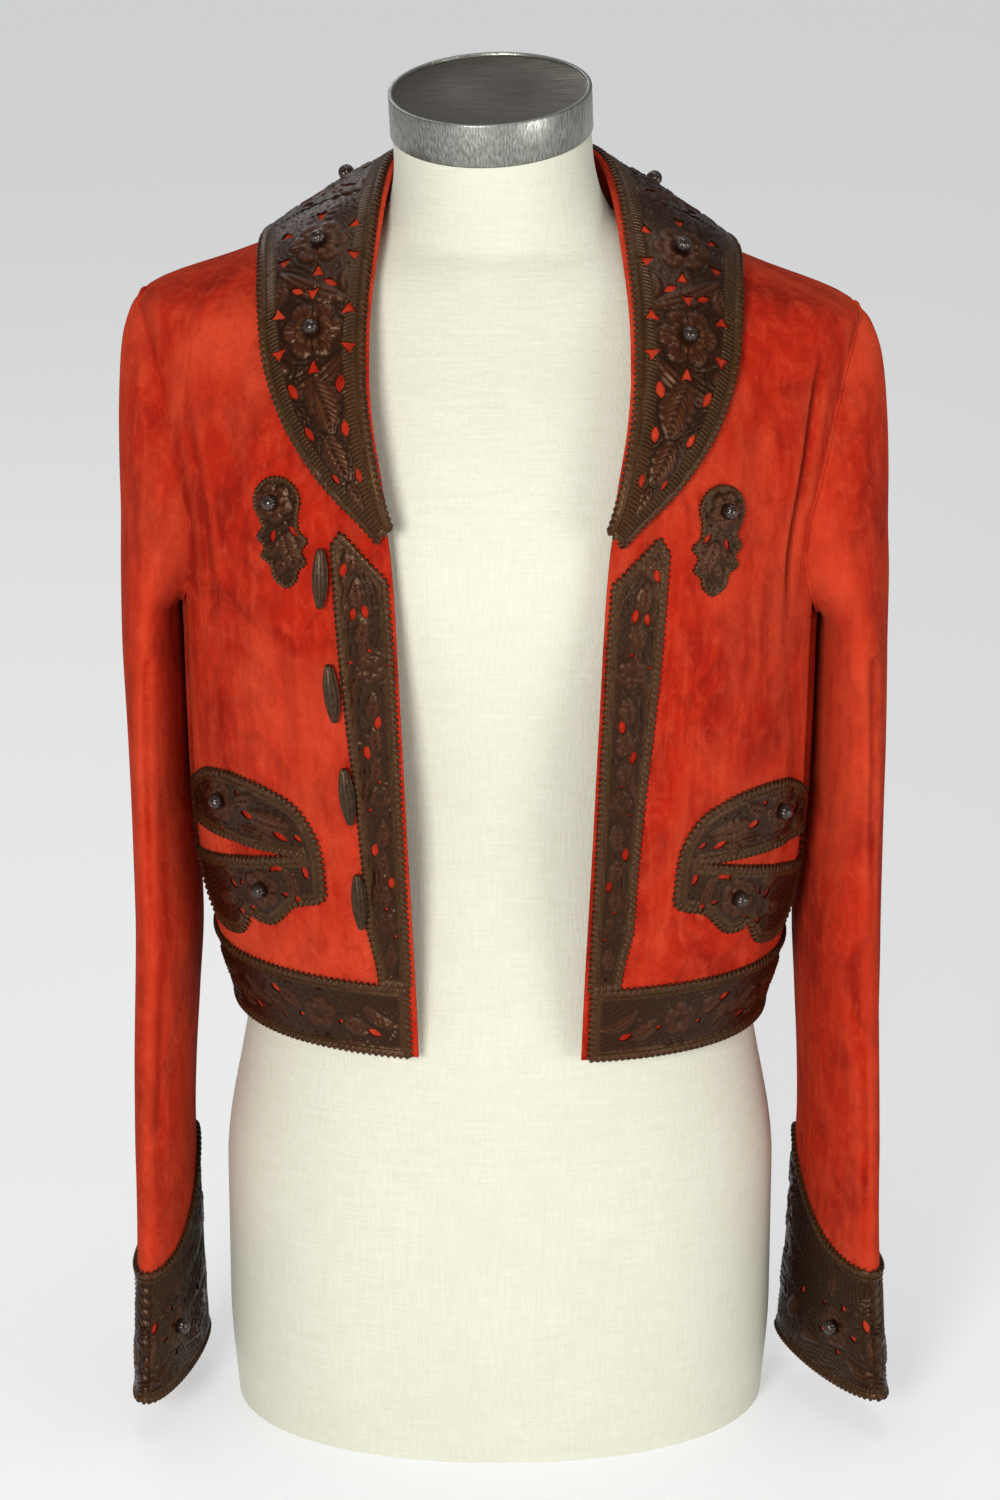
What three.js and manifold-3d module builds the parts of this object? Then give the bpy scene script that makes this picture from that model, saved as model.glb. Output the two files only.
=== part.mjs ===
// A red suede shawl-collared jacket with tooled openwork leather, worn by a limbless dress form.
// Millimetres, +Z up, the front faces -Y, +X is the wearer's left. The origin is the middle of the
// form's flat underside.
import * as THREE from 'three';
import { mergeVertices } from 'three/addons/utils/BufferGeometryUtils.js';
import Module from 'manifold-3d';

const wasm = await Module();
wasm.setup();

const { PI, abs, acos, asin, cos, exp, hypot, max, min, sign, sin, sqrt } = Math;
const vec = (x, y, z) => new THREE.Vector3(x, y, z);
const radians = THREE.MathUtils.degToRad;
const lerp = THREE.MathUtils.lerp;
const smoothstep = THREE.MathUtils.smoothstep;

// ---- Driving dimensions ----
const SUEDE = 1.8; // thickness of the suede wall
const LEATHER = 1.5; // thickness of the appliqued leather
const SEAM = 0.3; // space left between pieces
const SETTLE = 0.02; // the wearer's left side hangs lower, per mm from the middle
const ROUNDNESS = 2.35; // power of the body's rings: 2 is an ellipse, more is boxier

const UNDERARM_Z = 490;
const SHOULDER_Z = 668;

// The jacket's outer face, a ring for each height: half its width, and its depth before and
// behind the shoulder line.
const BODY = [
  { z: 255, half: 158, front: 118, back: 104 },
  { z: 290, half: 168, front: 121, back: 106 },
  { z: 330, half: 176, front: 124, back: 107 },
  { z: 375, half: 179, front: 127, back: 108 },
  { z: 430, half: 180, front: 130, back: 108 },
  { z: 490, half: 181, front: 132, back: 110 },
  { z: 540, half: 184, front: 131, back: 112 },
  { z: 580, half: 189, front: 124, back: 113 },
  { z: 610, half: 193, front: 112, back: 111 },
  { z: 640, half: 197, front: 95, back: 104 },
  { z: 655, half: 199, front: 85, back: 98 },
  { z: 668, half: 198, front: 73, back: 91 },
  { z: 685, half: 154, front: 57, back: 82 },
  { z: 702, half: 110, front: 33, back: 73 },
  { z: 714, half: 79, front: 12, back: 66 },
];

// How far the fronts' edge stands from the middle, up the opening and on under the collar.
const FRONT_EDGE = [
  { z: 255, x: 46 },
  { z: 300, x: 47.5 },
  { z: 377, x: 51 },
  { z: 471, x: 55 },
  { z: 540, x: 58.5 },
  { z: 562, x: 61 },
  { z: 590, x: 68 },
  { z: 622, x: 75 },
  { z: 655, x: 80 },
  { z: 685, x: 81 },
  { z: 702, x: 78 },
  { z: 714, x: 72 },
];

// The armhole: how far its edge lies before and behind the shoulder line.
const ARMHOLE = [
  { z: 490, front: 0, back: 0 },
  { z: 496, front: 26, back: 29 },
  { z: 504, front: 40, back: 44 },
  { z: 515, front: 51, back: 55 },
  { z: 532, front: 59, back: 63 },
  { z: 552, front: 60, back: 66 },
  { z: 576, front: 54, back: 65 },
  { z: 600, front: 45, back: 60 },
  { z: 622, front: 36, back: 51 },
  { z: 642, front: 26, back: 38 },
  { z: 658, front: 14, back: 21 },
  { z: 668, front: 0, back: 0 },
];

const BODY_ROWS = [
  255, 298, 340, 382, 425, 458, 490, 496, 504, 515, 532, 552, 576, 600, 622, 642, 658, 668, 676,
  685, 694, 702, 709, 714,
];
const FRONT_COLUMNS = 12;
const BACK_COLUMNS = 18;

// Soft upright folds of the body: where they run, from side 1 or -1 and a turn from the middle
// front in degrees, half their width along the ring, how deep they sink, and their two ends.
const BODY_FOLDS = [
  { side: 1, turn: 47, width: 17, sink: 3.6, low: 500, high: 675 },
  { side: 1, turn: 62, width: 17, sink: 2.6, low: 420, high: 600 },
  { side: 1, turn: 30, width: 18, sink: 1.8, low: 400, high: 530 },
  { side: -1, turn: 52, width: 17, sink: 3, low: 430, high: 640 },
  { side: -1, turn: 36, width: 17, sink: 1.8, low: 380, high: 540 },
  { side: 1, turn: 118, width: 20, sink: 3, low: 430, high: 620 },
  { side: -1, turn: 120, width: 20, sink: 3, low: 400, high: 600 },
  { side: 1, turn: 148, width: 22, sink: 2.4, low: 330, high: 480 },
  { side: -1, turn: 150, width: 22, sink: 2.4, low: 340, high: 520 },
];
// The same on the sleeves: turn runs from the inner middle by the front, a tilt in degrees for
// each 100 mm of height.
const SLEEVE_FOLDS = [
  { side: 'left', turn: 62, tilt: 4, width: 22, sink: 2.6, low: 180, high: 470 },
  { side: 'left', turn: 118, tilt: -5, width: 24, sink: 2, low: 240, high: 520 },
  { side: 'left', turn: 250, tilt: 3, width: 26, sink: 2.4, low: 140, high: 420 },
  { side: 'right', turn: 70, tilt: -3, width: 22, sink: 2.4, low: 160, high: 440 },
  { side: 'right', turn: 125, tilt: 4, width: 24, sink: 1.8, low: 220, high: 500 },
  { side: 'right', turn: 245, tilt: -3, width: 26, sink: 2.2, low: 150, high: 430 },
];

// The collar from its tip, at 0, round the shoulder seam, at 7, to the middle back: the fold where
// it turns over, and where its outer edge lies on the body.
const COLLAR = [
  { at: 0, foldX: 58.5, foldY: -128, foldZ: 567, edgeX: 64.5, edgeZ: 558 },
  { at: 1, foldX: 61, foldY: -128.5, foldZ: 578, edgeX: 75, edgeZ: 568.5 },
  { at: 2, foldX: 64.5, foldY: -125, foldZ: 597, edgeX: 96, edgeZ: 588 },
  { at: 3, foldX: 68.5, foldY: -114, foldZ: 622, edgeX: 114.5, edgeZ: 613 },
  { at: 4, foldX: 70.4, foldY: -99, foldZ: 645, edgeX: 125, edgeZ: 638 },
  { at: 5, foldX: 70, foldY: -78, foldZ: 672, edgeX: 129.5, edgeZ: 661 },
  { at: 6, foldX: 66.5, foldY: -47, foldZ: 702, edgeX: 131, edgeZ: 682 },
  { at: 7, foldX: 61.5, foldY: -8, foldZ: 730, edgeX: 129.6, edgeZ: 694.4 },
  { at: 8, foldX: 55, foldY: 26, foldZ: 743, edgeX: 118, edgeZ: 689 },
  { at: 9, foldX: 42, foldY: 50, foldZ: 747.5, edgeX: 93, edgeZ: 682 },
  { at: 10, foldX: 22, foldY: 64, foldZ: 749.5, edgeX: 50, edgeZ: 678 },
  { at: 11, foldX: 0, foldY: 68, foldZ: 750, edgeX: 0, edgeZ: 677 },
];
const COLLAR_SHOULDER = 7;
const COLLAR_END = 11;
const COLLAR_COLUMNS = 17; // on each side
const COLLAR_ROWS = [0, 0.05, 0.28, 0.52, 0.76, 1];
const COLLAR_LIFT = 4; // of the collar's outer edge off the body
const COLLAR_BULGE = 5; // of its roll
const STAND_COLUMNS = 13;
const STAND_START = 1.6; // where the stand begins, on the collar's scale

// The tooled flowers of the collar, on its scale, with a knob in the middle of each.
const COLLAR_FLOWERS = [
  { at: 4.75, across: 0.5 },
  { at: 6.2, across: 0.48 },
  { at: 8.1, across: 0.46 },
];
const COLLAR_SPRIGS = [
  { at: 1.5, across: 0.52, turn: 12 },
  { at: 2.4, across: 0.3, turn: -25 },
  { at: 2.6, across: 0.7, turn: 30 },
  { at: 3.6, across: 0.28, turn: -30 },
  { at: 3.7, across: 0.72, turn: 30 },
  { at: 9, across: 0.4, turn: -20 },
  { at: 10, across: 0.6, turn: 20 },
];

// The sleeve's head: rings that fan out round the underarm, from the upright armhole to a level
// ring. reach is the ring's height on its own tilted plane, swell widens it, and round turns it
// from the armhole's shape to an ellipse.
const SLEEVE_HEAD = [
  { fan: 0, reach: 178, swell: 1, round: 0 },
  { fan: 2.5, reach: 170.6, swell: 1.03, round: 0.04 },
  { fan: 5.5, reach: 155, swell: 1.05, round: 0.12 },
  { fan: 10.2, reach: 122, swell: 1.07, round: 0.25 },
  { fan: 17, reach: 91, swell: 1.08, round: 0.42 },
  { fan: 27.5, reach: 64.5, swell: 1.08, round: 0.6 },
  { fan: 50, reach: 43, swell: 1.08, round: 0.82 },
];
const SLEEVE_FULLNESS = { left: 1.18, right: 1 }; // of the head's width
const SLEEVE_HEAD_DEPTH = 66; // half of the level ring, front to back
const SLEEVE_HEAD_BACK = 4; // how far that ring's middle lies behind the shoulder line

// Level rings below the underarm: the inner side, the middle's depth, half the thickness, half the
// depth, and how far the back of the ring is turned in, as a share of the sleeve's full turn.
const SLEEVE = [
  { z: 25, inner: 183.5, y: -26, thick: 15, deep: 59, turn: 1 },
  { z: 96, inner: 183.5, y: -24.5, thick: 15.5, deep: 53, turn: 0.85 },
  { z: 164, inner: 183.5, y: -21, thick: 16, deep: 51.5, turn: 0.72 },
  { z: 205, inner: 183.5, y: -18, thick: 16.3, deep: 52.5, turn: 0.66 },
  { z: 250, inner: 183.3, y: -14, thick: 16.7, deep: 54, turn: 0.6 },
  { z: 300, inner: 183, y: -10, thick: 17.2, deep: 56, turn: 0.52 },
  { z: 350, inner: 182.8, y: -6, thick: 17.6, deep: 58.5, turn: 0.42 },
  { z: 400, inner: 182.8, y: -2, thick: 18.2, deep: 61, turn: 0.3 },
  { z: 445, inner: 183, y: 1, thick: 18.8, deep: 63.5, turn: 0.16 },
  { z: 475, inner: 183.2, y: 3, thick: 19, deep: 65, turn: 0.06 },
];
const SLEEVE_TURN = { left: 25, right: 12 }; // degrees at the wrist
const SLEEVE_THICKNESS = { left: 1, right: 0.87 }; // share of the table's
const UNDERARM_X = 181;
const SLEEVE_GAP = 0.6; // between the armhole's edge and the sleeve

// The cuff: its height above the sleeve's end, and the tall point on its inner back side.
const CUFF_HEIGHT = 79;
const CUFF_POINT = 54;
const CUFF_POINT_AT = 300; // degrees round the sleeve from the inner middle by the front
const CUFF_POINT_WIDTH = 62;
const CUFF_ROWS = [0, 0.5, 1];
const CUFF_SPLIT = [5, 16]; // the sleeve's columns where the cuff's two halves meet
const CUFF_FLOWERS = { inner: { turn: 33, z: 62 }, outer: { turn: 178, z: 60 } };

// The neckline that the stand rises from, on the collar's scale; edgeX places it on the back.
const NECKLINE = [
  { at: 1.6, z: 586, edgeX: 0 },
  { at: 2, z: 596, edgeX: 0 },
  { at: 3, z: 620, edgeX: 0 },
  { at: 4, z: 643, edgeX: 0 },
  { at: 5, z: 669, edgeX: 0 },
  { at: 6, z: 699, edgeX: 0 },
  { at: 7, z: 713.9, edgeX: 78 },
  { at: 8, z: 713.9, edgeX: 66 },
  { at: 9, z: 713.9, edgeX: 46 },
  { at: 10, z: 713.9, edgeX: 22 },
  { at: 11, z: 713.9, edgeX: 0 },
];
const STAND_FOOT = 3.2; // between the neckline and the stand
const STAND_TOP = 4.4; // between the stand and the fold

// Leather bands down the fronts, in the view from the front: their two edges, from the hem up.
const BAND_OUTER = [
  [66.5, 298.6],
  [68.5, 312],
  [73.5, 333],
  [75.5, 370],
  [79, 412],
  [82.5, 445],
  [86, 480],
  [89, 520],
  [91, 553],
  [86, 561],
];
const BAND_INNER = [
  [61, 536],
  [58.6, 500],
  [55.3, 425],
  [52.4, 350],
  [50.2, 298.6],
];
const HEM_INSET = 3.4; // from the fronts' edge
const BAND = { x: 0, y: -120, turn: 0 };
const BAND_SPRIGS = [
  { x: 79.5, z: 542, turn: 90 },
  { x: 71, z: 517, turn: 100 },
  { x: 70.5, z: 447, turn: 80 },
  { x: 65, z: 398, turn: 100 },
  { x: 66, z: 352, turn: 80 },
  { x: 58, z: 318, turn: 100 },
];

// The pocket's leather seen square on, from its middle: towards the side, and up.
const POCKET = { x: 135, y: -92, turn: 40 };
const POCKET_EDGE = [
  [-39, 346],
  [-41, 357],
  [-38.5, 381],
  [-28, 398],
  [-12, 406],
  [3, 409.5],
  [24, 410],
  [42, 406.5],
  [57, 398],
  [66, 388],
  [68, 350],
  [62, 329],
  [52, 316],
  [42, 311],
  [30, 311],
  [20, 314],
  [13.5, 322],
  [11, 328],
  [4, 325.5],
  [-6, 326],
  [-14, 332],
  [-22, 340],
];
const POCKET_SLIT = [
  [-25, 370],
  [80, 354.5],
  [80, 363.5],
];
const POCKET_FLOWERS = [
  { x: 157, z: 392 },
  { x: 133, z: 346 },
];
const POCKET_SPRIGS = [
  { x: 141, z: 396, turn: 25 },
  { x: 120, z: 388, turn: -20 },
  { x: 105.5, z: 366, turn: 85 },
  { x: 114, z: 352, turn: -30 },
  { x: 152, z: 346, turn: 20 },
  { x: 149, z: 326, turn: 70 },
];

// The leaf on each breast, seen square on from its middle: a round flower over a lobed leaf.
const LEAF = { x: 123, y: -104, z: 558, turn: 27, tilt: 8 };
const LEAF_FLOWER = { radius: 14, rise: 15 };
const LEAF_EDGE = [
  [10.5, 3],
  [15, -2],
  [11.5, -8],
  [14.5, -13],
  [9.5, -18],
  [9, -25],
  [3, -31],
  [-4, -28],
  [-7, -22],
  [-12, -19],
  [-10.5, -12],
  [-15, -7],
  [-11, -1],
];
const LEAF_SPRIGS = [
  { x: 123, z: 553, turn: 80 },
  { x: 119, z: 536, turn: 100 },
];

// Rolled leather toggles on the edge of the wearer's right band.
const TOGGLE_LENGTH = 33;
const TOGGLE_RADIUS = 4.4;
const TOGGLES = [
  { x: 95.4, z: 536, lean: 1 },
  { x: 90, z: 472, lean: 7 },
  { x: 82.4, z: 413, lean: 7 },
  { x: 76.5, z: 351, lean: 4 },
];

const KNOB_RADIUS = 4;
const KNOB_SIDES = 7;
const OPENING = 8.5; // length of a cut-out between petals
const OPENING_RING = 15; // how far it lies from the flower's middle
const PETALS = 5;
const SPRIG_LENGTH = 12;
const SPRIG_WIDTH = 5;

// The dress form: rings by their middle, half width, and depth before and behind it. power is 2
// for an ellipse, and lean is the share of the neck's tilt.
const FORM = [
  { z: 0, x: 0, y: 0, half: 158, front: 112, back: 116, power: 2.2, lean: 0 },
  { z: 60, x: 0, y: 0, half: 162, front: 117, back: 121, power: 2.2, lean: 0 },
  { z: 150, x: 0, y: 0, half: 162, front: 118, back: 122, power: 2.2, lean: 0 },
  { z: 230, x: 0, y: 0, half: 150, front: 109, back: 98, power: 2.2, lean: 0 },
  { z: 300, x: 0, y: 0, half: 137, front: 100, back: 95, power: 2.2, lean: 0 },
  { z: 374, x: 0, y: 0, half: 125, front: 92, back: 92, power: 2.2, lean: 0 },
  { z: 430, x: 0, y: 0, half: 134, front: 99, back: 92, power: 2.2, lean: 0 },
  { z: 490, x: 0, y: 0, half: 151, front: 112, back: 98, power: 2.2, lean: 0 },
  { z: 535, x: 0, y: 0, half: 160, front: 118, back: 102, power: 2.2, lean: 0 },
  { z: 580, x: 0, y: 0, half: 160, front: 109, back: 102, power: 2.2, lean: 0 },
  { z: 615, x: 0, y: 0, half: 158, front: 96, back: 98, power: 2.2, lean: 0 },
  { z: 645, x: 0, y: 0, half: 157, front: 80, back: 91, power: 2.1, lean: 0 },
  { z: 662, x: 0, y: 0, half: 154, front: 71, back: 85, power: 2, lean: 0 },
  { z: 674, x: 0, y: 0, half: 146, front: 66, back: 79, power: 1.85, lean: 0 },
  { z: 685, x: 0, y: 0, half: 133, front: 61, back: 73, power: 1.7, lean: 0 },
  { z: 694, x: 0, y: 0, half: 109, front: 57, back: 69, power: 1.6, lean: 0 },
  { z: 702, x: 0, y: 0, half: 86, front: 52.5, back: 66, power: 1.6, lean: 0.05 },
  { z: 710, x: -1, y: 1, half: 69, front: 53, back: 61, power: 1.75, lean: 0.15 },
  { z: 720, x: -2, y: 0, half: 61, front: 54, back: 57, power: 1.95, lean: 0.35 },
  { z: 737, x: -3, y: -4, half: 56, front: 54, back: 55, power: 2, lean: 0.7 },
  { z: 762.4, x: -4.5, y: -9.9, half: 54.5, front: 54.5, back: 54.5, power: 2, lean: 1 },
];
const FORM_COLUMNS = 24;
const CAP_RADIUS = 56;
const CAP_HEIGHT = 24;
const NECK_TILT = 12; // degrees forward
const NECK_ROLL = 2.5; // degrees down to the wearer's right

// A smooth curve through one column of a table, by its z column.
function curveOf(rows, column, key = 'z') {
  const slope = (a, b) => (rows[b][column] - rows[a][column]) / (rows[b][key] - rows[a][key]);
  const slopes = rows.map((row, i) => {
    const before = i > 0 ? slope(i - 1, i) : slope(i, i + 1);
    const after = i < rows.length - 1 ? slope(i, i + 1) : before;
    return before * after > 0 ? (before + after) / 2 : 0;
  });
  return (at) => {
    const last = rows.length - 1;
    if (at <= rows[0][key]) return rows[0][column];
    if (at >= rows[last][key]) return rows[last][column];
    const i = rows.findIndex((row) => row[key] > at) - 1;
    const width = rows[i + 1][key] - rows[i][key];
    const t = (at - rows[i][key]) / width;
    const rise = t * t * (3 - 2 * t);
    const level = rows[i][column] * (1 - rise) + rows[i + 1][column] * rise;
    const bend = slopes[i] * t * (1 - t) ** 2 - slopes[i + 1] * t * t * (1 - t);
    return level + bend * width;
  };
}

const bodyHalf = curveOf(BODY, 'half');
const bodyFront = curveOf(BODY, 'front');
const bodyBack = curveOf(BODY, 'back');
const frontEdge = curveOf(FRONT_EDGE, 'x');
const armholeFront = curveOf(ARMHOLE, 'front');
const armholeBack = curveOf(ARMHOLE, 'back');

const settle = (point) => point.setZ(point.z - SETTLE * point.x);

// How far a fold has sunk at a place: full at its middle, and running out at its edge and ends.
function foldDepth({ width, sink, low, high }, away, z) {
  const ends = smoothstep(z, low, lerp(low, high, 0.35)) * (1 - smoothstep(z, lerp(low, high, 0.65), high));
  return sink * exp(-((away / width) ** 2)) * ends;
}

// A point of the jacket's outer face. angle runs from 0 at the middle front by a quarter turn at
// the side to a half turn at the middle back; side is 1 on the wearer's left and -1 on the right.
function bodyPoint(side, angle, z) {
  const power = 2 / ROUNDNESS;
  const depth = cos(angle) > 0 ? bodyFront(z) : bodyBack(z);
  const x = bodyHalf(z) * sin(angle) ** power;
  const y = -sign(cos(angle)) * depth * abs(cos(angle)) ** power;
  const radius = hypot(x, y);
  const sunk = BODY_FOLDS.filter((fold) => fold.side === side)
    .map((fold) => foldDepth(fold, radius * (angle - radians(fold.turn)), z))
    .reduce((sum, depthOfOne) => sum + depthOfOne, 0);
  const shrink = 1 - sunk / radius;
  return settle(vec(side * x * shrink, y * shrink, z));
}

const angleAtX = (x, z) => asin(min(1, (x / bodyHalf(z)) ** (ROUNDNESS / 2)));
const angleAtDepth = (y, depth) => acos(min(1, (y / depth) ** (ROUNDNESS / 2)));

// The side edge of a panel: the side seam, then the armhole, then the shoulder seam.
function sideAngle(z, isFront) {
  const inArmhole = z > UNDERARM_Z && z < SHOULDER_Z;
  if (!inArmhole) return PI / 2;
  return isFront
    ? angleAtDepth(armholeFront(z), bodyFront(z))
    : PI - angleAtDepth(armholeBack(z), bodyBack(z));
}

// A grid of points with the normals of the sheet that it spans, turned to the outer side.
function gridOf(rows, columns, point, outward) {
  const points = rows.map((row, j) => columns.map((column, i) => point(row, column, j, i)));
  const at = (j, i) => points[min(max(j, 0), rows.length - 1)][min(max(i, 0), columns.length - 1)];
  const normals = points.map((line, j) =>
    line.map((p, i) => {
      const across = at(j, i + 1).clone().sub(at(j, i - 1));
      const along = at(j + 1, i).clone().sub(at(j - 1, i));
      const normal = across.cross(along).normalize();
      return normal.dot(outward(p)) < 0 ? normal.negate() : normal;
    }),
  );
  return { points, normals };
}

// The closed wall between two offsets of a grid, measured along its normals.
function wallOf({ points, normals }, inner, outer) {
  const rows = points.length;
  const columns = points[0].length;
  const positions = [];
  for (const offset of [outer, inner]) {
    points.forEach((line, j) =>
      line.forEach((p, i) => positions.push(...p.clone().addScaledVector(normals[j][i], offset))),
    );
  }
  const face = (layer, j, i) => layer * rows * columns + j * columns + i;
  const index = [];
  const quad = (a, b, c, d) => index.push(a, b, c, a, c, d);
  for (let j = 0; j < rows - 1; j += 1) {
    for (let i = 0; i < columns - 1; i += 1) {
      quad(face(0, j, i), face(0, j, i + 1), face(0, j + 1, i + 1), face(0, j + 1, i));
      const [a, b] = [face(1, j, i), face(1, j, i + 1)];
      const [c, d] = [face(1, j + 1, i + 1), face(1, j + 1, i)];
      index.push(a, c, b, a, d, c);
    }
  }
  const rim = [];
  for (let i = 0; i < columns - 1; i += 1) rim.push([0, i]);
  for (let j = 0; j < rows - 1; j += 1) rim.push([j, columns - 1]);
  for (let i = columns - 1; i > 0; i -= 1) rim.push([rows - 1, i]);
  for (let j = rows - 1; j > 0; j -= 1) rim.push([j, 0]);
  rim.forEach(([j, i], k) => {
    const [nextJ, nextI] = rim[(k + 1) % rim.length];
    quad(face(0, j, i), face(1, j, i), face(1, nextJ, nextI), face(0, nextJ, nextI));
  });
  return facingOut(geometryOf(positions, index));
}

function geometryOf(positions, index) {
  const geometry = new THREE.BufferGeometry();
  geometry.setAttribute('position', new THREE.Float32BufferAttribute(positions, 3));
  geometry.setIndex(index);
  return geometry;
}

function volumeOf(geometry) {
  const position = geometry.getAttribute('position');
  const [a, b, c] = [vec(), vec(), vec()];
  let total = 0;
  for (let k = 0; k < geometry.index.count; k += 3) {
    [a, b, c].forEach((corner, n) => corner.fromBufferAttribute(position, geometry.index.getX(k + n)));
    total += a.dot(b.cross(c)) / 6;
  }
  return total;
}

// Turns every triangle round where a closed mesh is inside out.
function facingOut(geometry) {
  if (volumeOf(geometry) > 0) return geometry;
  const index = Array.from(geometry.index.array);
  for (let k = 0; k < index.length; k += 3) [index[k + 1], index[k + 2]] = [index[k + 2], index[k + 1]];
  geometry.setIndex(index);
  return geometry;
}

const jacket = new THREE.Group();

function addPiece(name, geometry, material) {
  const mesh = new THREE.Mesh(geometry, material.clone());
  mesh.name = name;
  jacket.add(mesh);
  return mesh;
}

const suedeMaterial = new THREE.MeshStandardMaterial({ color: 0xc0331b, roughness: 0.95 });
const leatherMaterial = new THREE.MeshStandardMaterial({ color: 0x4a2b1b, roughness: 0.5 });
const knobMaterial = new THREE.MeshStandardMaterial({ color: 0x2a1a14, roughness: 0.3 });
const linenMaterial = new THREE.MeshStandardMaterial({ color: 0xe9e6d6, roughness: 0.9 });
const steelMaterial = new THREE.MeshStandardMaterial({
  color: 0xa8a9a4,
  roughness: 0.35,
  metalness: 1,
});

const spread = (count) => Array.from({ length: count + 1 }, (_, i) => i / count);
const awayFromAxis = (p) => vec(p.x, p.y, 0);
const sides = { left: 1, right: -1 };

// ---- The body: two fronts and a back ----
const frontGrid = (side) =>
  gridOf(
    BODY_ROWS,
    spread(FRONT_COLUMNS),
    (z, t) => {
      const seam = SEAM / 2 / bodyHalf(z);
      return bodyPoint(side, lerp(angleAtX(frontEdge(z), z), sideAngle(z, true) - seam, t), z);
    },
    awayFromAxis,
  );

const backGrid = gridOf(
  BODY_ROWS,
  spread(BACK_COLUMNS),
  (z, t) => {
    const seam = SEAM / 2 / bodyHalf(z);
    const swing = PI - sideAngle(z, false) - seam;
    const turn = (2 * t - 1) * swing;
    return bodyPoint(sign(turn) || 1, PI - abs(turn), z);
  },
  awayFromAxis,
);

const fronts = { left: frontGrid(1), right: frontGrid(-1) };
for (const [name, grid] of Object.entries(fronts)) {
  addPiece(`front_${name}`, wallOf(grid, -SUEDE, 0), suedeMaterial);
}
addPiece('back', wallOf(backGrid, -SUEDE, 0), suedeMaterial);

// ---- Sleeves ----
// The armhole's edge from the underarm up the front, over the shoulder and down the back.
function armholeRing(side) {
  const rows = BODY_ROWS.filter((z) => z >= UNDERARM_Z && z <= SHOULDER_Z);
  const inner = rows.slice(1, -1);
  const at = (z, isFront) => bodyPoint(side, sideAngle(z, isFront), z);
  return [
    at(UNDERARM_Z, true),
    ...inner.map((z) => at(z, true)),
    at(SHOULDER_Z, true),
    ...inner.reverse().map((z) => at(z, false)),
  ];
}

const sleeveColumn = (name) => curveOf(SLEEVE, name);
const sleeveInner = sleeveColumn('inner');
const sleeveY = sleeveColumn('y');
const sleeveThick = sleeveColumn('thick');
const sleeveDeep = sleeveColumn('deep');
const sleeveTurn = sleeveColumn('turn');

function sleevePoint(sideName, around, z) {
  const turn = radians(SLEEVE_TURN[sideName]) * sleeveTurn(z);
  const thick = sleeveThick(z) * SLEEVE_THICKNESS[sideName];
  const sunk = SLEEVE_FOLDS.filter((fold) => fold.side === sideName)
    .map((fold) => foldDepth(fold, THREE.MathUtils.radToDeg(around) - fold.turn - (fold.tilt * z) / 100, z))
    .reduce((sum, depth) => sum + depth, 0);
  const outward = -(thick - sunk) * cos(around);
  const rearward = -(sleeveDeep(z) - sunk) * sin(around);
  return vec(
    sides[sideName] * (sleeveInner(z) + thick + outward * cos(turn) - rearward * sin(turn)),
    sleeveY(z) + outward * sin(turn) + rearward * cos(turn),
    z,
  );
}

function sleeveGrid(sideName) {
  const side = sides[sideName];
  const ring = armholeRing(side);
  const around = ring.map((_, i) => (2 * PI * i) / ring.length);
  const head = SLEEVE_HEAD.map(({ fan, reach, swell, round }) =>
    ring.map((p, i) => {
      const height = p.z + SETTLE * p.x - UNDERARM_Z;
      const lean = abs(p.x) - UNDERARM_X;
      const roundHeight = ((1 - cos(around[i])) * reach) / 2;
      const roundDepth = SLEEVE_HEAD_BACK - SLEEVE_HEAD_DEPTH * sin(around[i]);
      const up = lerp((height * reach) / (SHOULDER_Z - UNDERARM_Z), roundHeight, round);
      const depth = lerp(p.y * swell, roundDepth, round);
      const out = lean * (1 - round) ** 2 + SLEEVE_GAP + 2.2 * round;
      const tilt = radians(fan);
      return settle(
        vec(
          side * (UNDERARM_X + up * sin(tilt) * SLEEVE_FULLNESS[sideName] + out * cos(tilt)),
          depth,
          UNDERARM_Z + up * cos(tilt) - out * sin(tilt),
        ),
      );
    }),
  );
  const arm = SLEEVE.map(({ z }) => around.map((turn) => sleevePoint(sideName, turn, z)));
  return ringGrid([...head, ...arm.reverse()]);
}

// The normals of rings that close round a hollow.
function ringGrid(points) {
  const count = points[0].length;
  const last = points.length - 1;
  const normals = points.map((ring, j) => {
    const middle = ring.reduce((sum, p) => sum.add(p), vec(0, 0, 0)).divideScalar(count);
    return ring.map((p, i) => {
      const across = ring[(i + 1) % count].clone().sub(ring[(i + count - 1) % count]);
      const along = points[min(j + 1, last)][i].clone().sub(points[max(j - 1, 0)][i]);
      const normal = across.cross(along).normalize();
      return normal.dot(p.clone().sub(middle)) < 0 ? normal.negate() : normal;
    });
  });
  return { points, normals };
}

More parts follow.
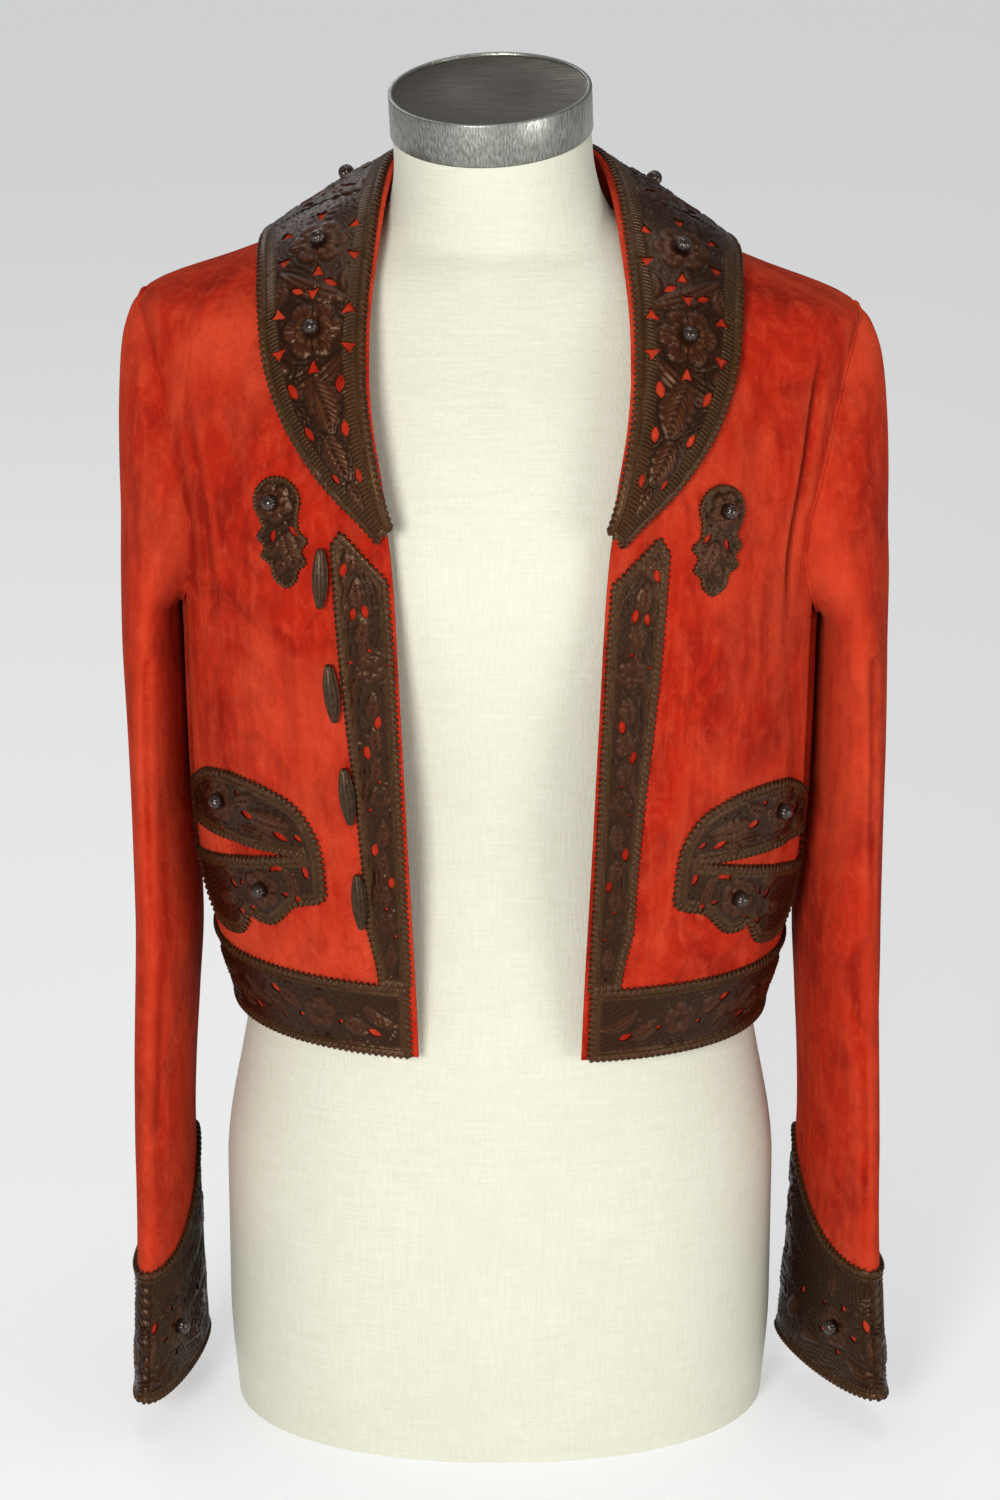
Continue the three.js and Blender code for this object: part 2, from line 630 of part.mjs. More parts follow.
// The closed wall of a tube that is open at both ends.
function tubeOf({ points, normals }, inner, outer) {
  const rows = points.length;
  const columns = points[0].length;
  const positions = [];
  for (const offset of [outer, inner]) {
    points.forEach((ring, j) =>
      ring.forEach((p, i) => positions.push(...p.clone().addScaledVector(normals[j][i], offset))),
    );
  }
  const face = (layer, j, i) => layer * rows * columns + j * columns + (i % columns);
  const index = [];
  const quad = (a, b, c, d) => index.push(a, b, c, a, c, d);
  for (let i = 0; i < columns; i += 1) {
    for (let j = 0; j < rows - 1; j += 1) {
      quad(face(0, j, i), face(0, j, i + 1), face(0, j + 1, i + 1), face(0, j + 1, i));
      const [a, b] = [face(1, j, i), face(1, j, i + 1)];
      const [c, d] = [face(1, j + 1, i + 1), face(1, j + 1, i)];
      index.push(a, c, b, a, d, c);
    }
    quad(face(0, 0, i + 1), face(0, 0, i), face(1, 0, i), face(1, 0, i + 1));
    const end = rows - 1;
    quad(face(0, end, i), face(0, end, i + 1), face(1, end, i + 1), face(1, end, i));
  }
  return facingOut(geometryOf(positions, index));
}

const sleeves = { left: sleeveGrid('left'), right: sleeveGrid('right') };
for (const [name, grid] of Object.entries(sleeves)) {
  addPiece(`sleeve_${name}`, tubeOf(grid, -SUEDE, 0), suedeMaterial);
}

// ---- The collar ----
const collarCurve = (name) => curveOf(COLLAR, name, 'at');
const foldX = collarCurve('foldX');
const foldY = collarCurve('foldY');
const foldZ = collarCurve('foldZ');
const edgeX = collarCurve('edgeX');
const edgeZ = collarCurve('edgeZ');
const necklineZ = curveOf(NECKLINE, 'z', 'at');
const necklineX = curveOf(NECKLINE, 'edgeX', 'at');

function bodyNormal(side, angle, z) {
  const step = 0.01;
  const across = bodyPoint(side, min(angle + step, PI), z).sub(bodyPoint(side, angle - step, z));
  const along = bodyPoint(side, angle, z + 1).sub(bodyPoint(side, angle, z - 1));
  const normal = across.cross(along).normalize();
  return normal.dot(awayFromAxis(bodyPoint(side, angle, z))) < 0 ? normal.negate() : normal;
}

const foldPoint = (side, at) => settle(vec(side * foldX(at), foldY(at), foldZ(at)));

function collarPoint(side, at, across) {
  const onFront = angleAtX(edgeX(at), edgeZ(at));
  const turn = at < COLLAR_SHOULDER ? onFront : PI - onFront;
  const normal = bodyNormal(side, turn, edgeZ(at));
  const edge = bodyPoint(side, turn, edgeZ(at)).addScaledVector(normal, COLLAR_LIFT);
  const bulge = COLLAR_BULGE * 4 * across * (1 - across);
  return foldPoint(side, at).lerp(edge, across).addScaledVector(normal, bulge);
}

function standPoint(side, at, up) {
  const z = necklineZ(at);
  const turn =
    at < COLLAR_SHOULDER ? angleAtX(frontEdge(z), z) : PI - angleAtX(necklineX(at), z);
  const foot = bodyPoint(side, turn, z);
  const fold = foldPoint(side, at);
  const rise = fold.clone().sub(foot).normalize();
  return foot.addScaledVector(rise, STAND_FOOT).lerp(fold.addScaledVector(rise, -STAND_TOP), up);
}

const upAndAway = (p) => vec(p.x, p.y, 60);
const inAndUp = (p) => vec(-p.x, -p.y, 60);
// Stations from the wearer's right tip round the neck to the left one.
const roundNeck = (stations) => [
  ...stations.slice(0, -1).map((at) => ({ side: -1, at })),
  ...stations.map((at) => ({ side: 1, at })).reverse(),
];
const collarStations = spread(COLLAR_COLUMNS).map((t) => t * COLLAR_END);
const collarGrid = gridOf(
  COLLAR_ROWS,
  roundNeck(collarStations),
  (across, { side, at }) => collarPoint(side, at, across),
  upAndAway,
);
addPiece('undercollar', wallOf(collarGrid, -SUEDE, 0), suedeMaterial);

const standStations = spread(STAND_COLUMNS).map((t) => lerp(STAND_START, COLLAR_END, t));
const standGrid = gridOf(
  [0, 0.5, 1],
  roundNeck(standStations),
  (up, { side, at }) => standPoint(side, at, up),
  inAndUp,
);
addPiece('collar_stand', wallOf(standGrid, 0, SUEDE), suedeMaterial);

// ---- Cutting leather ----
function solidOf(geometry) {
  const bare = geometry.clone();
  bare.deleteAttribute('normal');
  bare.deleteAttribute('uv');
  const merged = mergeVertices(bare, 1e-4);
  return new wasm.Manifold(
    new wasm.Mesh({
      numProp: 3,
      vertProperties: new Float32Array(merged.getAttribute('position').array),
      triVerts: new Uint32Array(merged.index.array),
    }),
  );
}

function geometryFrom(solid) {
  const mesh = solid.getMesh();
  return geometryOf(Array.from(mesh.vertProperties), Array.from(mesh.triVerts));
}

// A prism of an outline, square to a place on a surface.
const CUT_DEPTH = 9;
function prismAt(outline, place, depth = CUT_DEPTH) {
  const shape = new THREE.Shape(outline.map(([x, y]) => new THREE.Vector2(x, y)));
  const prism = new THREE.ExtrudeGeometry(shape, { depth: 2 * depth, bevelEnabled: false });
  prism.translate(0, 0, -depth);
  prism.applyMatrix4(place);
  return prism;
}

// The frame of a surface at a place: its first axis along, its second across, its third outward.
function frameAt(point, u, v, outward) {
  const origin = point(u, v);
  const along = point(u + 0.05, v).sub(origin).normalize();
  const across = point(u, v + 0.02).sub(origin);
  const normal = along.clone().cross(across).normalize();
  if (normal.dot(outward(origin)) < 0) normal.negate();
  const level = normal.clone().cross(along);
  return new THREE.Matrix4().makeBasis(along, level, normal).setPosition(origin);
}

const turned = (outline, degrees, out = 0) => {
  const [c, s] = [cos(radians(degrees)), sin(radians(degrees))];
  return outline.map(([x, y]) => [c * (x + out) - s * y, s * (x + out) + c * y]);
};

// A three-cornered cut-out that points away from the flower, and a leaf-shaped one.
const WEDGE = [
  [-OPENING / 2, 0],
  [OPENING / 2, -OPENING * 0.38],
  [OPENING / 2, OPENING * 0.38],
];
const SPRIG = [
  [-SPRIG_LENGTH / 2, 0],
  [-SPRIG_LENGTH / 8, -SPRIG_WIDTH / 2],
  [SPRIG_LENGTH / 2, 0],
  [-SPRIG_LENGTH / 8, SPRIG_WIDTH / 2],
];

// The cut-outs between a flower's petals.
function flowerCuts(frame) {
  return spread(PETALS)
    .slice(0, -1)
    .map((share) => prismAt(turned(WEDGE, share * 360, OPENING_RING), frame));
}

const cutAll = (solid, prisms) => prisms.reduce((rest, prism) => rest.subtract(solidOf(prism)), solid);

function knobAt(name, frame, lift) {
  const profile = spread(2).map((t) => [
    KNOB_RADIUS * sin((t * PI) / 2),
    KNOB_RADIUS * 0.8 * cos((t * PI) / 2),
  ]);
  const points = [...profile, [0, 0]].map(([r, h]) => new THREE.Vector2(r, h));
  const knob = new THREE.LatheGeometry(points.reverse(), KNOB_SIDES);
  knob.rotateX(PI / 2);
  knob.translate(0, 0, lift);
  knob.applyMatrix4(frame);
  return addPiece(name, knob, knobMaterial);
}

const TOP_OF_LEATHER = SEAM + LEATHER;
const KNOB_LIFT = TOP_OF_LEATHER + 0.5;

// ---- The collar's leather, in two halves that meet at the middle back ----
for (const [name, side] of Object.entries(sides)) {
  const point = (at, across) => collarPoint(side, at, across);
  const half = {
    points: collarGrid.points.slice(1).map((row) => halfOf(row, side)),
    normals: collarGrid.normals.slice(1).map((row) => halfOf(row, side)),
  };
  const leather = solidOf(wallOf(trimMiddle(half, side), SEAM, TOP_OF_LEATHER));
  const flowers = COLLAR_FLOWERS.map(({ at, across }) => frameAt(point, at, across, upAndAway));
  const sprigs = COLLAR_SPRIGS.map(({ at, across, turn }) =>
    prismAt(turned(SPRIG, turn * side), frameAt(point, at, across, upAndAway)),
  );
  const cuts = [...flowers.flatMap((frame) => flowerCuts(frame)), ...sprigs];
  addPiece(`collar_leather_${name}`, geometryFrom(cutAll(leather, cuts)), leatherMaterial);
  flowers.forEach((frame, i) => knobAt(`collar_knob_${name}_${i + 1}`, frame, KNOB_LIFT));
}

function halfOf(row, side) {
  const middle = (row.length - 1) / 2;
  return side < 0 ? row.slice(0, middle + 1) : row.slice(middle);
}

// Leaves half a seam at the middle back.
function trimMiddle({ points, normals }, side) {
  const moved = points.map((row) => row.map((p) => vec(side * max(abs(p.x), SEAM / 2), p.y, p.z)));
  return { points: moved, normals };
}

// ---- Leather on the body ----
const part = ({ points, normals }, firstRow, lastRow, firstColumn, lastColumn) => ({
  points: points.slice(firstRow, lastRow + 1).map((row) => row.slice(firstColumn, lastColumn + 1)),
  normals: normals.slice(firstRow, lastRow + 1).map((row) => row.slice(firstColumn, lastColumn + 1)),
});

// Moves one end of a grid's rows inward by a distance, on its own facets.
function trimmed({ points, normals }, end, distance) {
  const moved = points.map((row) => {
    const at = end === 'first' ? 0 : row.length - 1;
    const next = end === 'first' ? 1 : row.length - 2;
    const step = row[next].clone().sub(row[at]);
    return row.map((p, i) => (i === at ? p.clone().addScaledVector(step, distance / step.length()) : p));
  });
  return { points: moved, normals };
}

const rowOf = (z) => BODY_ROWS.indexOf(z);
const HEM_TOP = rowOf(298);
for (const [name, grid] of Object.entries(fronts)) {
  const hem = trimmed(part(grid, 0, HEM_TOP, 0, FRONT_COLUMNS), 'first', HEM_INSET);
  addPiece(`hem_band_${name}`, wallOf(hem, SEAM, TOP_OF_LEATHER), leatherMaterial);
}
const backHem = part(backGrid, 0, HEM_TOP, 0, BACK_COLUMNS);
addPiece('hem_band_back', wallOf(backHem, SEAM, TOP_OF_LEATHER), leatherMaterial);

// A prism that cuts the leather of a front to an outline, which is seen from a turn round the body.
const CUTTER_REACH = 60;
function cutterOf(outline, { side, x, y, turn }) {
  const [c, s] = [cos(radians(turn)), sin(radians(turn))];
  const place = new THREE.Matrix4()
    .makeBasis(vec(c, side * s, 0), vec(0, 0, 1), vec(side * s, -c, 0))
    .setPosition(vec(side * x, y, 0));
  const settled = outline.map(([u, z]) => [side * u, z - SETTLE * side * (x + u * c)]);
  return solidOf(prismAt(settled, place, CUTTER_REACH));
}

const leatherOf = (grid) => solidOf(wallOf(grid, SEAM, TOP_OF_LEATHER));

const bodySurface = (side) => (x, z) => bodyPoint(side, angleAtX(x, z), z);
const bodyFrame = (side, x, z) => frameAt(bodySurface(side), x, z, awayFromAxis);
const sprigOnBody = (side, { x, z, turn }) =>
  prismAt(turned(SPRIG, turn * side), bodyFrame(side, x, z));

const BAND_COLUMNS = 5;
const BAND_TOP = rowOf(576);
const POCKET_PATCH = { low: rowOf(298), high: rowOf(425), first: 3 };
const LEAF_PATCH = { low: rowOf(490), high: rowOf(600), first: 4, last: 10 };
const leafOutline = [
  ...LEAF_EDGE,
  ...spread(7).map((t) => {
    const angle = radians(lerp(215, -35, t));
    return [LEAF_FLOWER.radius * cos(angle), LEAF_FLOWER.rise + LEAF_FLOWER.radius * sin(angle)];
  }),
];

for (const [name, side] of Object.entries(sides)) {
  const grid = fronts[name];
  const bandPatch = part(grid, HEM_TOP, BAND_TOP, 0, BAND_COLUMNS);
  const bandCutter = cutterOf([...BAND_OUTER, ...BAND_INNER], { side, ...BAND });
  const band = cutAll(
    leatherOf(bandPatch).intersect(bandCutter),
    BAND_SPRIGS.map((sprig) => sprigOnBody(side, sprig)),
  );
  addPiece(`front_band_${name}`, geometryFrom(band), leatherMaterial);

  const { low, high, first } = POCKET_PATCH;
  const pocket = leatherOf(part(grid, low, high, first, FRONT_COLUMNS))
    .intersect(cutterOf(POCKET_EDGE, { side, ...POCKET }))
    .subtract(cutterOf(POCKET_SLIT, { side, ...POCKET }));
  const openPocket = cutAll(pocket, POCKET_SPRIGS.map((sprig) => sprigOnBody(side, sprig)));
  addPiece(`pocket_leather_${name}`, geometryFrom(openPocket), leatherMaterial);
  POCKET_FLOWERS.forEach(({ x, z }, i) =>
    knobAt(`pocket_knob_${name}_${i + 1}`, bodyFrame(side, x, z), KNOB_LIFT),
  );

  const leafPatch = part(grid, LEAF_PATCH.low, LEAF_PATCH.high, LEAF_PATCH.first, LEAF_PATCH.last);
  const upright = turned(leafOutline, LEAF.tilt).map(([u, z]) => [u, z + LEAF.z]);
  const leaf = leatherOf(leafPatch).intersect(cutterOf(upright, { side, ...LEAF }));
  const openLeaf = cutAll(leaf, LEAF_SPRIGS.map((sprig) => sprigOnBody(side, sprig)));
  addPiece(`breast_leaf_${name}`, geometryFrom(openLeaf), leatherMaterial);
  knobAt(`breast_knob_${name}`, bodyFrame(side, LEAF.x, LEAF.z + LEAF_FLOWER.rise), KNOB_LIFT);
}

// ---- Toggles ----
const barrel = spread(4).map((t) => [
  TOGGLE_RADIUS * (0.62 + 0.38 * sin(PI * t)),
  TOGGLE_LENGTH * (t - 0.5),
]);
TOGGLES.forEach(({ x, z, lean }, i) => {
  const outline = [[0, -TOGGLE_LENGTH / 2], ...barrel, [0, TOGGLE_LENGTH / 2]];
  const toggle = new THREE.LatheGeometry(outline.map(([r, h]) => new THREE.Vector2(r, h)), 8);
  toggle.rotateZ(-radians(lean));
  toggle.translate(0, 0, TOP_OF_LEATHER + SEAM + TOGGLE_RADIUS);
  toggle.applyMatrix4(bodyFrame(-1, x, z));
  addPiece(`toggle_${i + 1}`, toggle, leatherMaterial);
});

// ---- Cuffs, each in two halves ----
function cuffHeight(turn) {
  const away = abs(((turn - CUFF_POINT_AT + 540) % 360) - 180);
  return CUFF_HEIGHT + CUFF_POINT * exp(-((away / CUFF_POINT_WIDTH) ** 2));
}

// The sleeve's grid read at a height, on its own facets.
function sleeveAt({ points, normals }, column, z) {
  const last = points.length - 1;
  let j = last - 1;
  while (points[j][column].z < z) j -= 1;
  const [low, high] = [points[j + 1][column], points[j][column]];
  const t = max(0, (z - low.z) / (high.z - low.z));
  const normal = normals[j + 1][column].clone().lerp(normals[j][column], t);
  return { point: low.clone().lerp(high, t), normal };
}

function cuffHalf(grid, firstColumn, lastColumn) {
  const count = grid.points[0].length;
  const columns = Array.from({ length: lastColumn - firstColumn + 1 }, (_, i) => firstColumn + i);
  const end = SLEEVE[0].z;
  const cells = CUFF_ROWS.map((share) =>
    columns.map((column) => {
      const height = cuffHeight((column * 360) / count);
      return sleeveAt(grid, column % count, end + share * height);
    }),
  );
  const half = {
    points: cells.map((row) => row.map((cell) => cell.point)),
    normals: cells.map((row) => row.map((cell) => cell.normal)),
  };
  return trimmed(trimmed(half, 'first', SEAM / 2), 'last', SEAM / 2);
}

for (const [name, grid] of Object.entries(sleeves)) {
  const count = grid.points[0].length;
  const [front, back] = CUFF_SPLIT;
  const halves = {
    outer: cuffHalf(grid, front, back),
    inner: cuffHalf(grid, back, front + count),
  };
  const surface = (around, z) => sleevePoint(name, around, z);
  const middle = sleevePoint(name, 0, CUFF_FLOWERS.inner.z).add(
    sleevePoint(name, PI, CUFF_FLOWERS.inner.z),
  );
  middle.multiplyScalar(0.5);
  for (const [half, sheet] of Object.entries(halves)) {
    const { turn, z } = CUFF_FLOWERS[half];
    const frame = frameAt(surface, radians(turn), z, (p) => p.clone().sub(middle));
    const leather = cutAll(solidOf(wallOf(sheet, SEAM, TOP_OF_LEATHER)), flowerCuts(frame));
    addPiece(`cuff_${half}_${name}`, geometryFrom(leather), leatherMaterial);
    knobAt(`cuff_knob_${half}_${name}`, frame, KNOB_LIFT);
  }
}

// ---- The dress form ----
function formRing({ z, x, y, half, front, back, power, lean }) {
  return spread(FORM_COLUMNS)
    .slice(0, -1)
    .map((share) => {
      const [s, c] = [sin(2 * PI * share), cos(2 * PI * share)];
      const across = sign(s) * half * abs(s) ** (2 / power);
      const depth = (c > 0 ? -front : back) * abs(c) ** (2 / power);
      const tilt = Math.tan(radians(NECK_TILT)) * depth + Math.tan(radians(NECK_ROLL)) * across;
      return vec(x + across, y + depth, z + lean * tilt);
    });
}

function capped(rings) {
  const count = rings[0].length;
  const positions = rings.flat().flatMap((p) => [...p]);
  const index = [];
  for (let j = 0; j < rings.length - 1; j += 1) {
    for (let i = 0; i < count; i += 1) {
      const [a, b] = [j * count + i, j * count + ((i + 1) % count)];
      index.push(a, b, b + count, a, b + count, a + count);
    }
  }
  const top = (rings.length - 1) * count;
  for (let i = 1; i < count - 1; i += 1) index.push(0, i + 1, i, top, top + i, top + i + 1);
  return facingOut(geometryOf(positions, index));
}

addPiece('form_body', capped(FORM.map(formRing)), linenMaterial);

const cap = new THREE.CylinderGeometry(CAP_RADIUS, CAP_RADIUS, CAP_HEIGHT, 36);
cap.rotateX(PI / 2);
const capMesh = addPiece('neck_cap', cap, steelMaterial);
const neckTop = FORM[FORM.length - 1];
capMesh.rotation.set(radians(NECK_TILT), -radians(NECK_ROLL), 0);
const capUp = vec(0, 0, 1).applyEuler(capMesh.rotation);
capMesh.position
  .set(neckTop.x, neckTop.y, neckTop.z)
  .addScaledVector(capUp, CAP_HEIGHT / 2 + SEAM);

export default jacket;
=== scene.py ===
"""The looks of a red suede jacket with carved leather, worn by a limbless dress form.

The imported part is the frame: every piece here stands for a node of it, at the same place. Sizes are
millimetres up to the moment a mesh is made, and metres in Blender. The front faces -Y.
"""

import logging
from dataclasses import dataclass, field, replace
from enum import Enum
from functools import partial
from math import atan2, cos, pi, radians, sin, tan
from typing import Callable, Iterable, Optional, Sequence

import bpy
import numpy as np
from mathutils import Matrix, Vector


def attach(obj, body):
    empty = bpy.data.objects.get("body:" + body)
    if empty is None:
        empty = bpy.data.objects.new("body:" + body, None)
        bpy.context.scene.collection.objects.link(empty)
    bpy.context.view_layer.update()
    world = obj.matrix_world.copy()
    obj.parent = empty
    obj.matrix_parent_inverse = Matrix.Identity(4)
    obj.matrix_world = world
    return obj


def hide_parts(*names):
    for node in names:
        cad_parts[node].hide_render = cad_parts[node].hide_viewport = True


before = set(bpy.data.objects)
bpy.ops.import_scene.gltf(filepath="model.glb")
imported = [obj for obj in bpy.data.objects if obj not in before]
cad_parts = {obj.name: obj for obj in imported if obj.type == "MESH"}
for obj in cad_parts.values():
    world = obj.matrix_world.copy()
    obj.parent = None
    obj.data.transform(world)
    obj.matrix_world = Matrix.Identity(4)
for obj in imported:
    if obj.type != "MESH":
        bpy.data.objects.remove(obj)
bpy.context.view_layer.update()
LOG = logging.getLogger("jacket")

Array = np.ndarray
Material, Piece = bpy.types.Material, bpy.types.Object
Node, Socket, Tree = bpy.types.Node, bpy.types.NodeSocket, bpy.types.NodeTree
MM = 0.001
SIDES = {"left": 1, "right": -1}

# Thicknesses, the gap between two pieces, and the welt's radius and how far out it stands.
SUEDE = 1.8
LEATHER = 1.5
SEAM = 0.3
WELT = 1.35
WELT_OUT = 0.3
# How much lower the jacket hangs for each millimetre towards the wearer's left.
SETTLE = 0.02
# The power of the superellipses that the body's level rings are.
ROUNDNESS = 2.35
# Heights before the jacket settles.
CUFF_Z = 25.0
HEM_Z = 255.0
HEM_BAND_TOP = 298.0
UNDERARM_Z = 490.0
SHOULDER_Z = 668.0
NECK_Z = 714.0
# Where the collar's leather starts below the fold, and where the trim's flowers stand.
COLLAR_LEATHER_START = 0.05
COLLAR_FLOWERS = ((4.75, 0.5), (6.2, 0.48), (8.1, 0.46))
POCKET_FLOWERS = ((157, 392), (133, 346))
LEAF_FLOWER = (123, 573)
LEAF_DRAWN_LEAN = 8.0
LEAF_LEAN = -12.0
# A cuff's height, how far its point rises above that, how wide the point is in degrees, and
# its halves: where each starts and ends in 22 parts of the way round, and its flower's place.
CUFF_HEIGHT = 79.0
CUFF_POINT = 54.0
CUFF_POINT_WIDTH = 62.0
CUFF_HALVES = (("outer", 5, 16, 178, 60), ("inner", 16, 27, 33, 62))

# The shapes. A table's first row is where the values of its other rows stand: a height, or a
# station round the neck.
BODY = {
    "z": (255, 290, 330, 375, 430, 490, 540, 580, 610, 640, 655, 668, 685, 702, 714),
    "half": (153.5, 163, 172, 178, 180, 181, 184, 189, 193, 197, 199, 198, 154, 110, 79),
    "front": (118, 121, 124, 127, 130, 132, 131, 124, 112, 95, 85, 73, 57, 33, 12),
    "back": (104, 106, 107, 108, 108, 110, 112, 113, 111, 104, 98, 91, 82, 73, 66),
}
FRONT_EDGE = {
    "z": (255, 300, 377, 471, 540, 562, 590, 622, 655, 685, 702, 714),
    "x": (46, 47.5, 51, 55, 58.5, 61, 68, 75, 80, 81, 78, 72),
}
ARMHOLE = {
    "z": (490, 496, 504, 515, 532, 552, 576, 600, 622, 642, 658, 668),
    "front": (0, 26, 40, 51, 59, 60, 54, 45, 36, 26, 14, 0),
    "back": (0, 29, 44, 55, 63, 66, 65, 60, 51, 38, 21, 0),
}
COLLAR = {
    "at": (0, 1, 2, 3, 4, 5, 6, 7, 8, 9, 10, 11),
    "fold_x": (58.5, 61, 64.5, 68.5, 70.4, 70, 66.5, 61.5, 55, 42, 22, 0),
    "fold_y": (-128, -128.5, -125, -114, -99, -78, -47, -8, 26, 50, 64, 68),
    "fold_z": (567, 578, 597, 622, 645, 672, 702, 730, 743, 747.5, 749.5, 750),
    "edge_x": (64.5, 75, 96, 114.5, 125, 129.5, 131, 129.6, 118, 93, 50, 0),
    "edge_z": (558, 568.5, 588, 613, 638, 661, 682, 694.4, 689, 682, 678, 677),
}
NECKLINE = {
    "at": (1.6, 2, 3, 4, 5, 6, 7, 8, 9, 10, 11),
    "z": (586, 596, 620, 643, 669, 699, 713.9, 713.9, 713.9, 713.9, 713.9),
    "edge_x": (0, 0, 0, 0, 0, 0, 78, 66, 46, 22, 0),
}
SLEEVE = {
    "z": (25, 96, 164, 205, 250, 300, 350, 400, 445, 475),
    "inner": (183.5, 183.5, 183.5, 182.0, 178.6, 175.2, 176.8, 179.6, 180.8, 181.4),
    "y": (-26, -24.5, -21, -18, -14, -10, -6, -2, 1, 3),
    "thick": (15, 15.5, 16, 17.0, 19.0, 21.1, 20.6, 19.8, 19.9, 19.9),
    "deep": (59, 53, 51.5, 52.5, 54, 56, 58.5, 61, 63.5, 65),
    "turn": (1, 0.85, 0.72, 0.66, 0.6, 0.52, 0.42, 0.3, 0.16, 0.06),
}
# The rings of a sleeve's head: degrees from the armhole, reach, widening and roundness.
SLEEVE_HEAD = {
    "fan": (0, 2.5, 5.5, 10.2, 17, 27.5, 50),
    "reach": (178, 170.6, 155, 122, 91, 64.5, 43),
    "swell": (1, 1.03, 1.05, 1.07, 1.08, 1.08, 1.08),
    "round": (0, 0.04, 0.12, 0.25, 0.42, 0.6, 0.82),
}
FORM = {
    "z": (0, 60, 150, 230, 300, 374, 430, 490, 535, 580, 615, 645, 662, 674, 685, 694, 702, 710,
          720, 737, 762.4),
    "x": (0,) * 17 + (-1, -2, -3, -4.5),
    "y": (0,) * 17 + (1, 0, -4, -9.9),
    "half": (158, 162, 162, 150, 137, 125, 134, 151, 160, 160, 158, 157, 154, 146, 133, 109, 86,
             69, 61, 56, 54.5),
    "front": (112, 117, 118, 109, 100, 92, 99, 112, 118, 109, 96, 80, 71, 66, 61, 57, 52.5, 53,
              54, 54, 54.5),
    "back": (116, 121, 122, 98, 95, 92, 92, 98, 102, 102, 98, 91, 85, 79, 73, 69, 66, 61, 57, 55,
             54.5),
    "power": (2.2,) * 11 + (2.1, 2, 1.85, 1.7, 1.6, 1.6, 1.75, 1.95, 2, 2),
    "lean": (0,) * 16 + (0.05, 0.15, 0.35, 0.7, 1),
}


@dataclass(frozen=True)
class Fold:
    """A soft trough in the cloth: its place, half width, depth and two ends."""

    side: int
    turn: float
    width: float
    sink: float
    low: float
    high: float
    tilt: float = 0.0

    def depth(self, away: Array, z: Array) -> Array:
        """How far the cloth has sunk, at a distance from the fold's line and at a height."""
        rise = smooth(z, self.low, lerp(self.low, self.high, 0.35))
        fall = 1 - smooth(z, lerp(self.low, self.high, 0.65), self.high)
        return self.sink * np.exp(-((away / self.width) ** 2)) * rise * fall


def folds(*rows: Sequence[float]) -> tuple[Fold, ...]:
    """Folds, each from its side, turn, width, depth, two ends and tilt."""
    return tuple(Fold(*row) for row in rows)


# The body's and the sleeves' folds by their turn: the large ones, and the finer creases.
BODY_FOLDS = folds(
    (1, 47, 17, 3.6, 500, 675), (1, 62, 17, 2.6, 420, 600), (1, 30, 18, 1.8, 400, 530),
    (-1, 52, 17, 3, 430, 640), (-1, 36, 17, 1.8, 380, 540), (1, 118, 20, 3, 430, 620),
    (-1, 120, 20, 3, 400, 600), (1, 148, 22, 2.4, 330, 480), (-1, 150, 22, 2.4, 340, 520),
)
BODY_CREASES = folds(
    (1, 44, 9, 1.2, 540, 668, 0.05), (1, 53, 8, 1.3, 430, 600, 0.06),
    (1, 61, 6, 5, 500, 668, 0.035), (1, 78, 8, 5, 330, 585, 0.01),
    (1, 36, 10, 1.2, 420, 560, -0.04), (1, 66, 10, 1.8, 320, 480, 0.03),
    (-1, 47, 9, 1.2, 520, 660, 0.06), (-1, 60, 7, 2.2, 450, 655, 0.03),
    (-1, 38, 10, 0.9, 370, 530, -0.05), (-1, 55, 11, 1.2, 320, 470, 0.04),
    (-1, 79, 8, 2.2, 340, 560, 0.01), (1, 112, 8, 1.6, 470, 640, -0.03),
    (1, 128, 10, 1.2, 380, 560, -0.05), (1, 158, 12, 1, 310, 460, 0.02),
    (-1, 108, 8, 1.4, 480, 630, -0.03), (-1, 133, 10, 1.2, 360, 560, -0.04),
    (-1, 163, 12, 0.9, 330, 520, -0.02),
)
SLEEVE_FOLDS = {
    1: folds((1, 62, 22, 2.6, 180, 470, 4), (1, 118, 24, 2.0, 240, 520, -5),
             (1, 250, 26, 2.4, 140, 420, 3)),
    -1: folds((-1, 70, 22, 2.4, 160, 440, -3), (-1, 125, 24, 1.8, 220, 500, 4),
             (-1, 245, 26, 2.2, 150, 430, -3)),
}
SLEEVE_CREASES = {
    1: folds((1, 95, 9, 2.2, 300, 560, 3), (1, 140, 10, 1.9, 160, 430, -2),
             (1, 205, 11, 2.0, 220, 480, 3), (1, 285, 10, 1.6, 260, 470, 2),
             (1, 75, 8, 1.4, 120, 260, 2)),
    -1: folds((-1, 98, 9, 2.0, 280, 560, -3), (-1, 150, 10, 1.8, 190, 470, 2),
             (-1, 200, 11, 1.8, 240, 470, -3), (-1, 280, 10, 1.5, 240, 450, 2),
             (-1, 60, 8, 1.4, 130, 290, 2)),
}
# The sleeves: turned, thinned and filled out by side, and how their heads leave the armhole.
SLEEVE_TURN = {1: 25.0, -1: 12.0}
SLEEVE_THICKNESS = {1: 1.0, -1: 0.87}
SLEEVE_FULLNESS = {1: 1.18, -1: 1.0}
SLEEVE_HEAD_DEPTH = 66.0
SLEEVE_HEAD_BACK = 4.0
UNDERARM_X = 181.0
SLEEVE_GAP = 0.6
SLEEVE_SWELL = 2.2
# The collar and its stand: stations round the neck, lifts and gaps.
COLLAR_SHOULDER = 7.0
COLLAR_END = 11.0
COLLAR_LIFT = 4.0
COLLAR_BULGE = 5.0
STAND_START = 1.6
STAND_FOOT = 3.2
STAND_TOP = 4.4
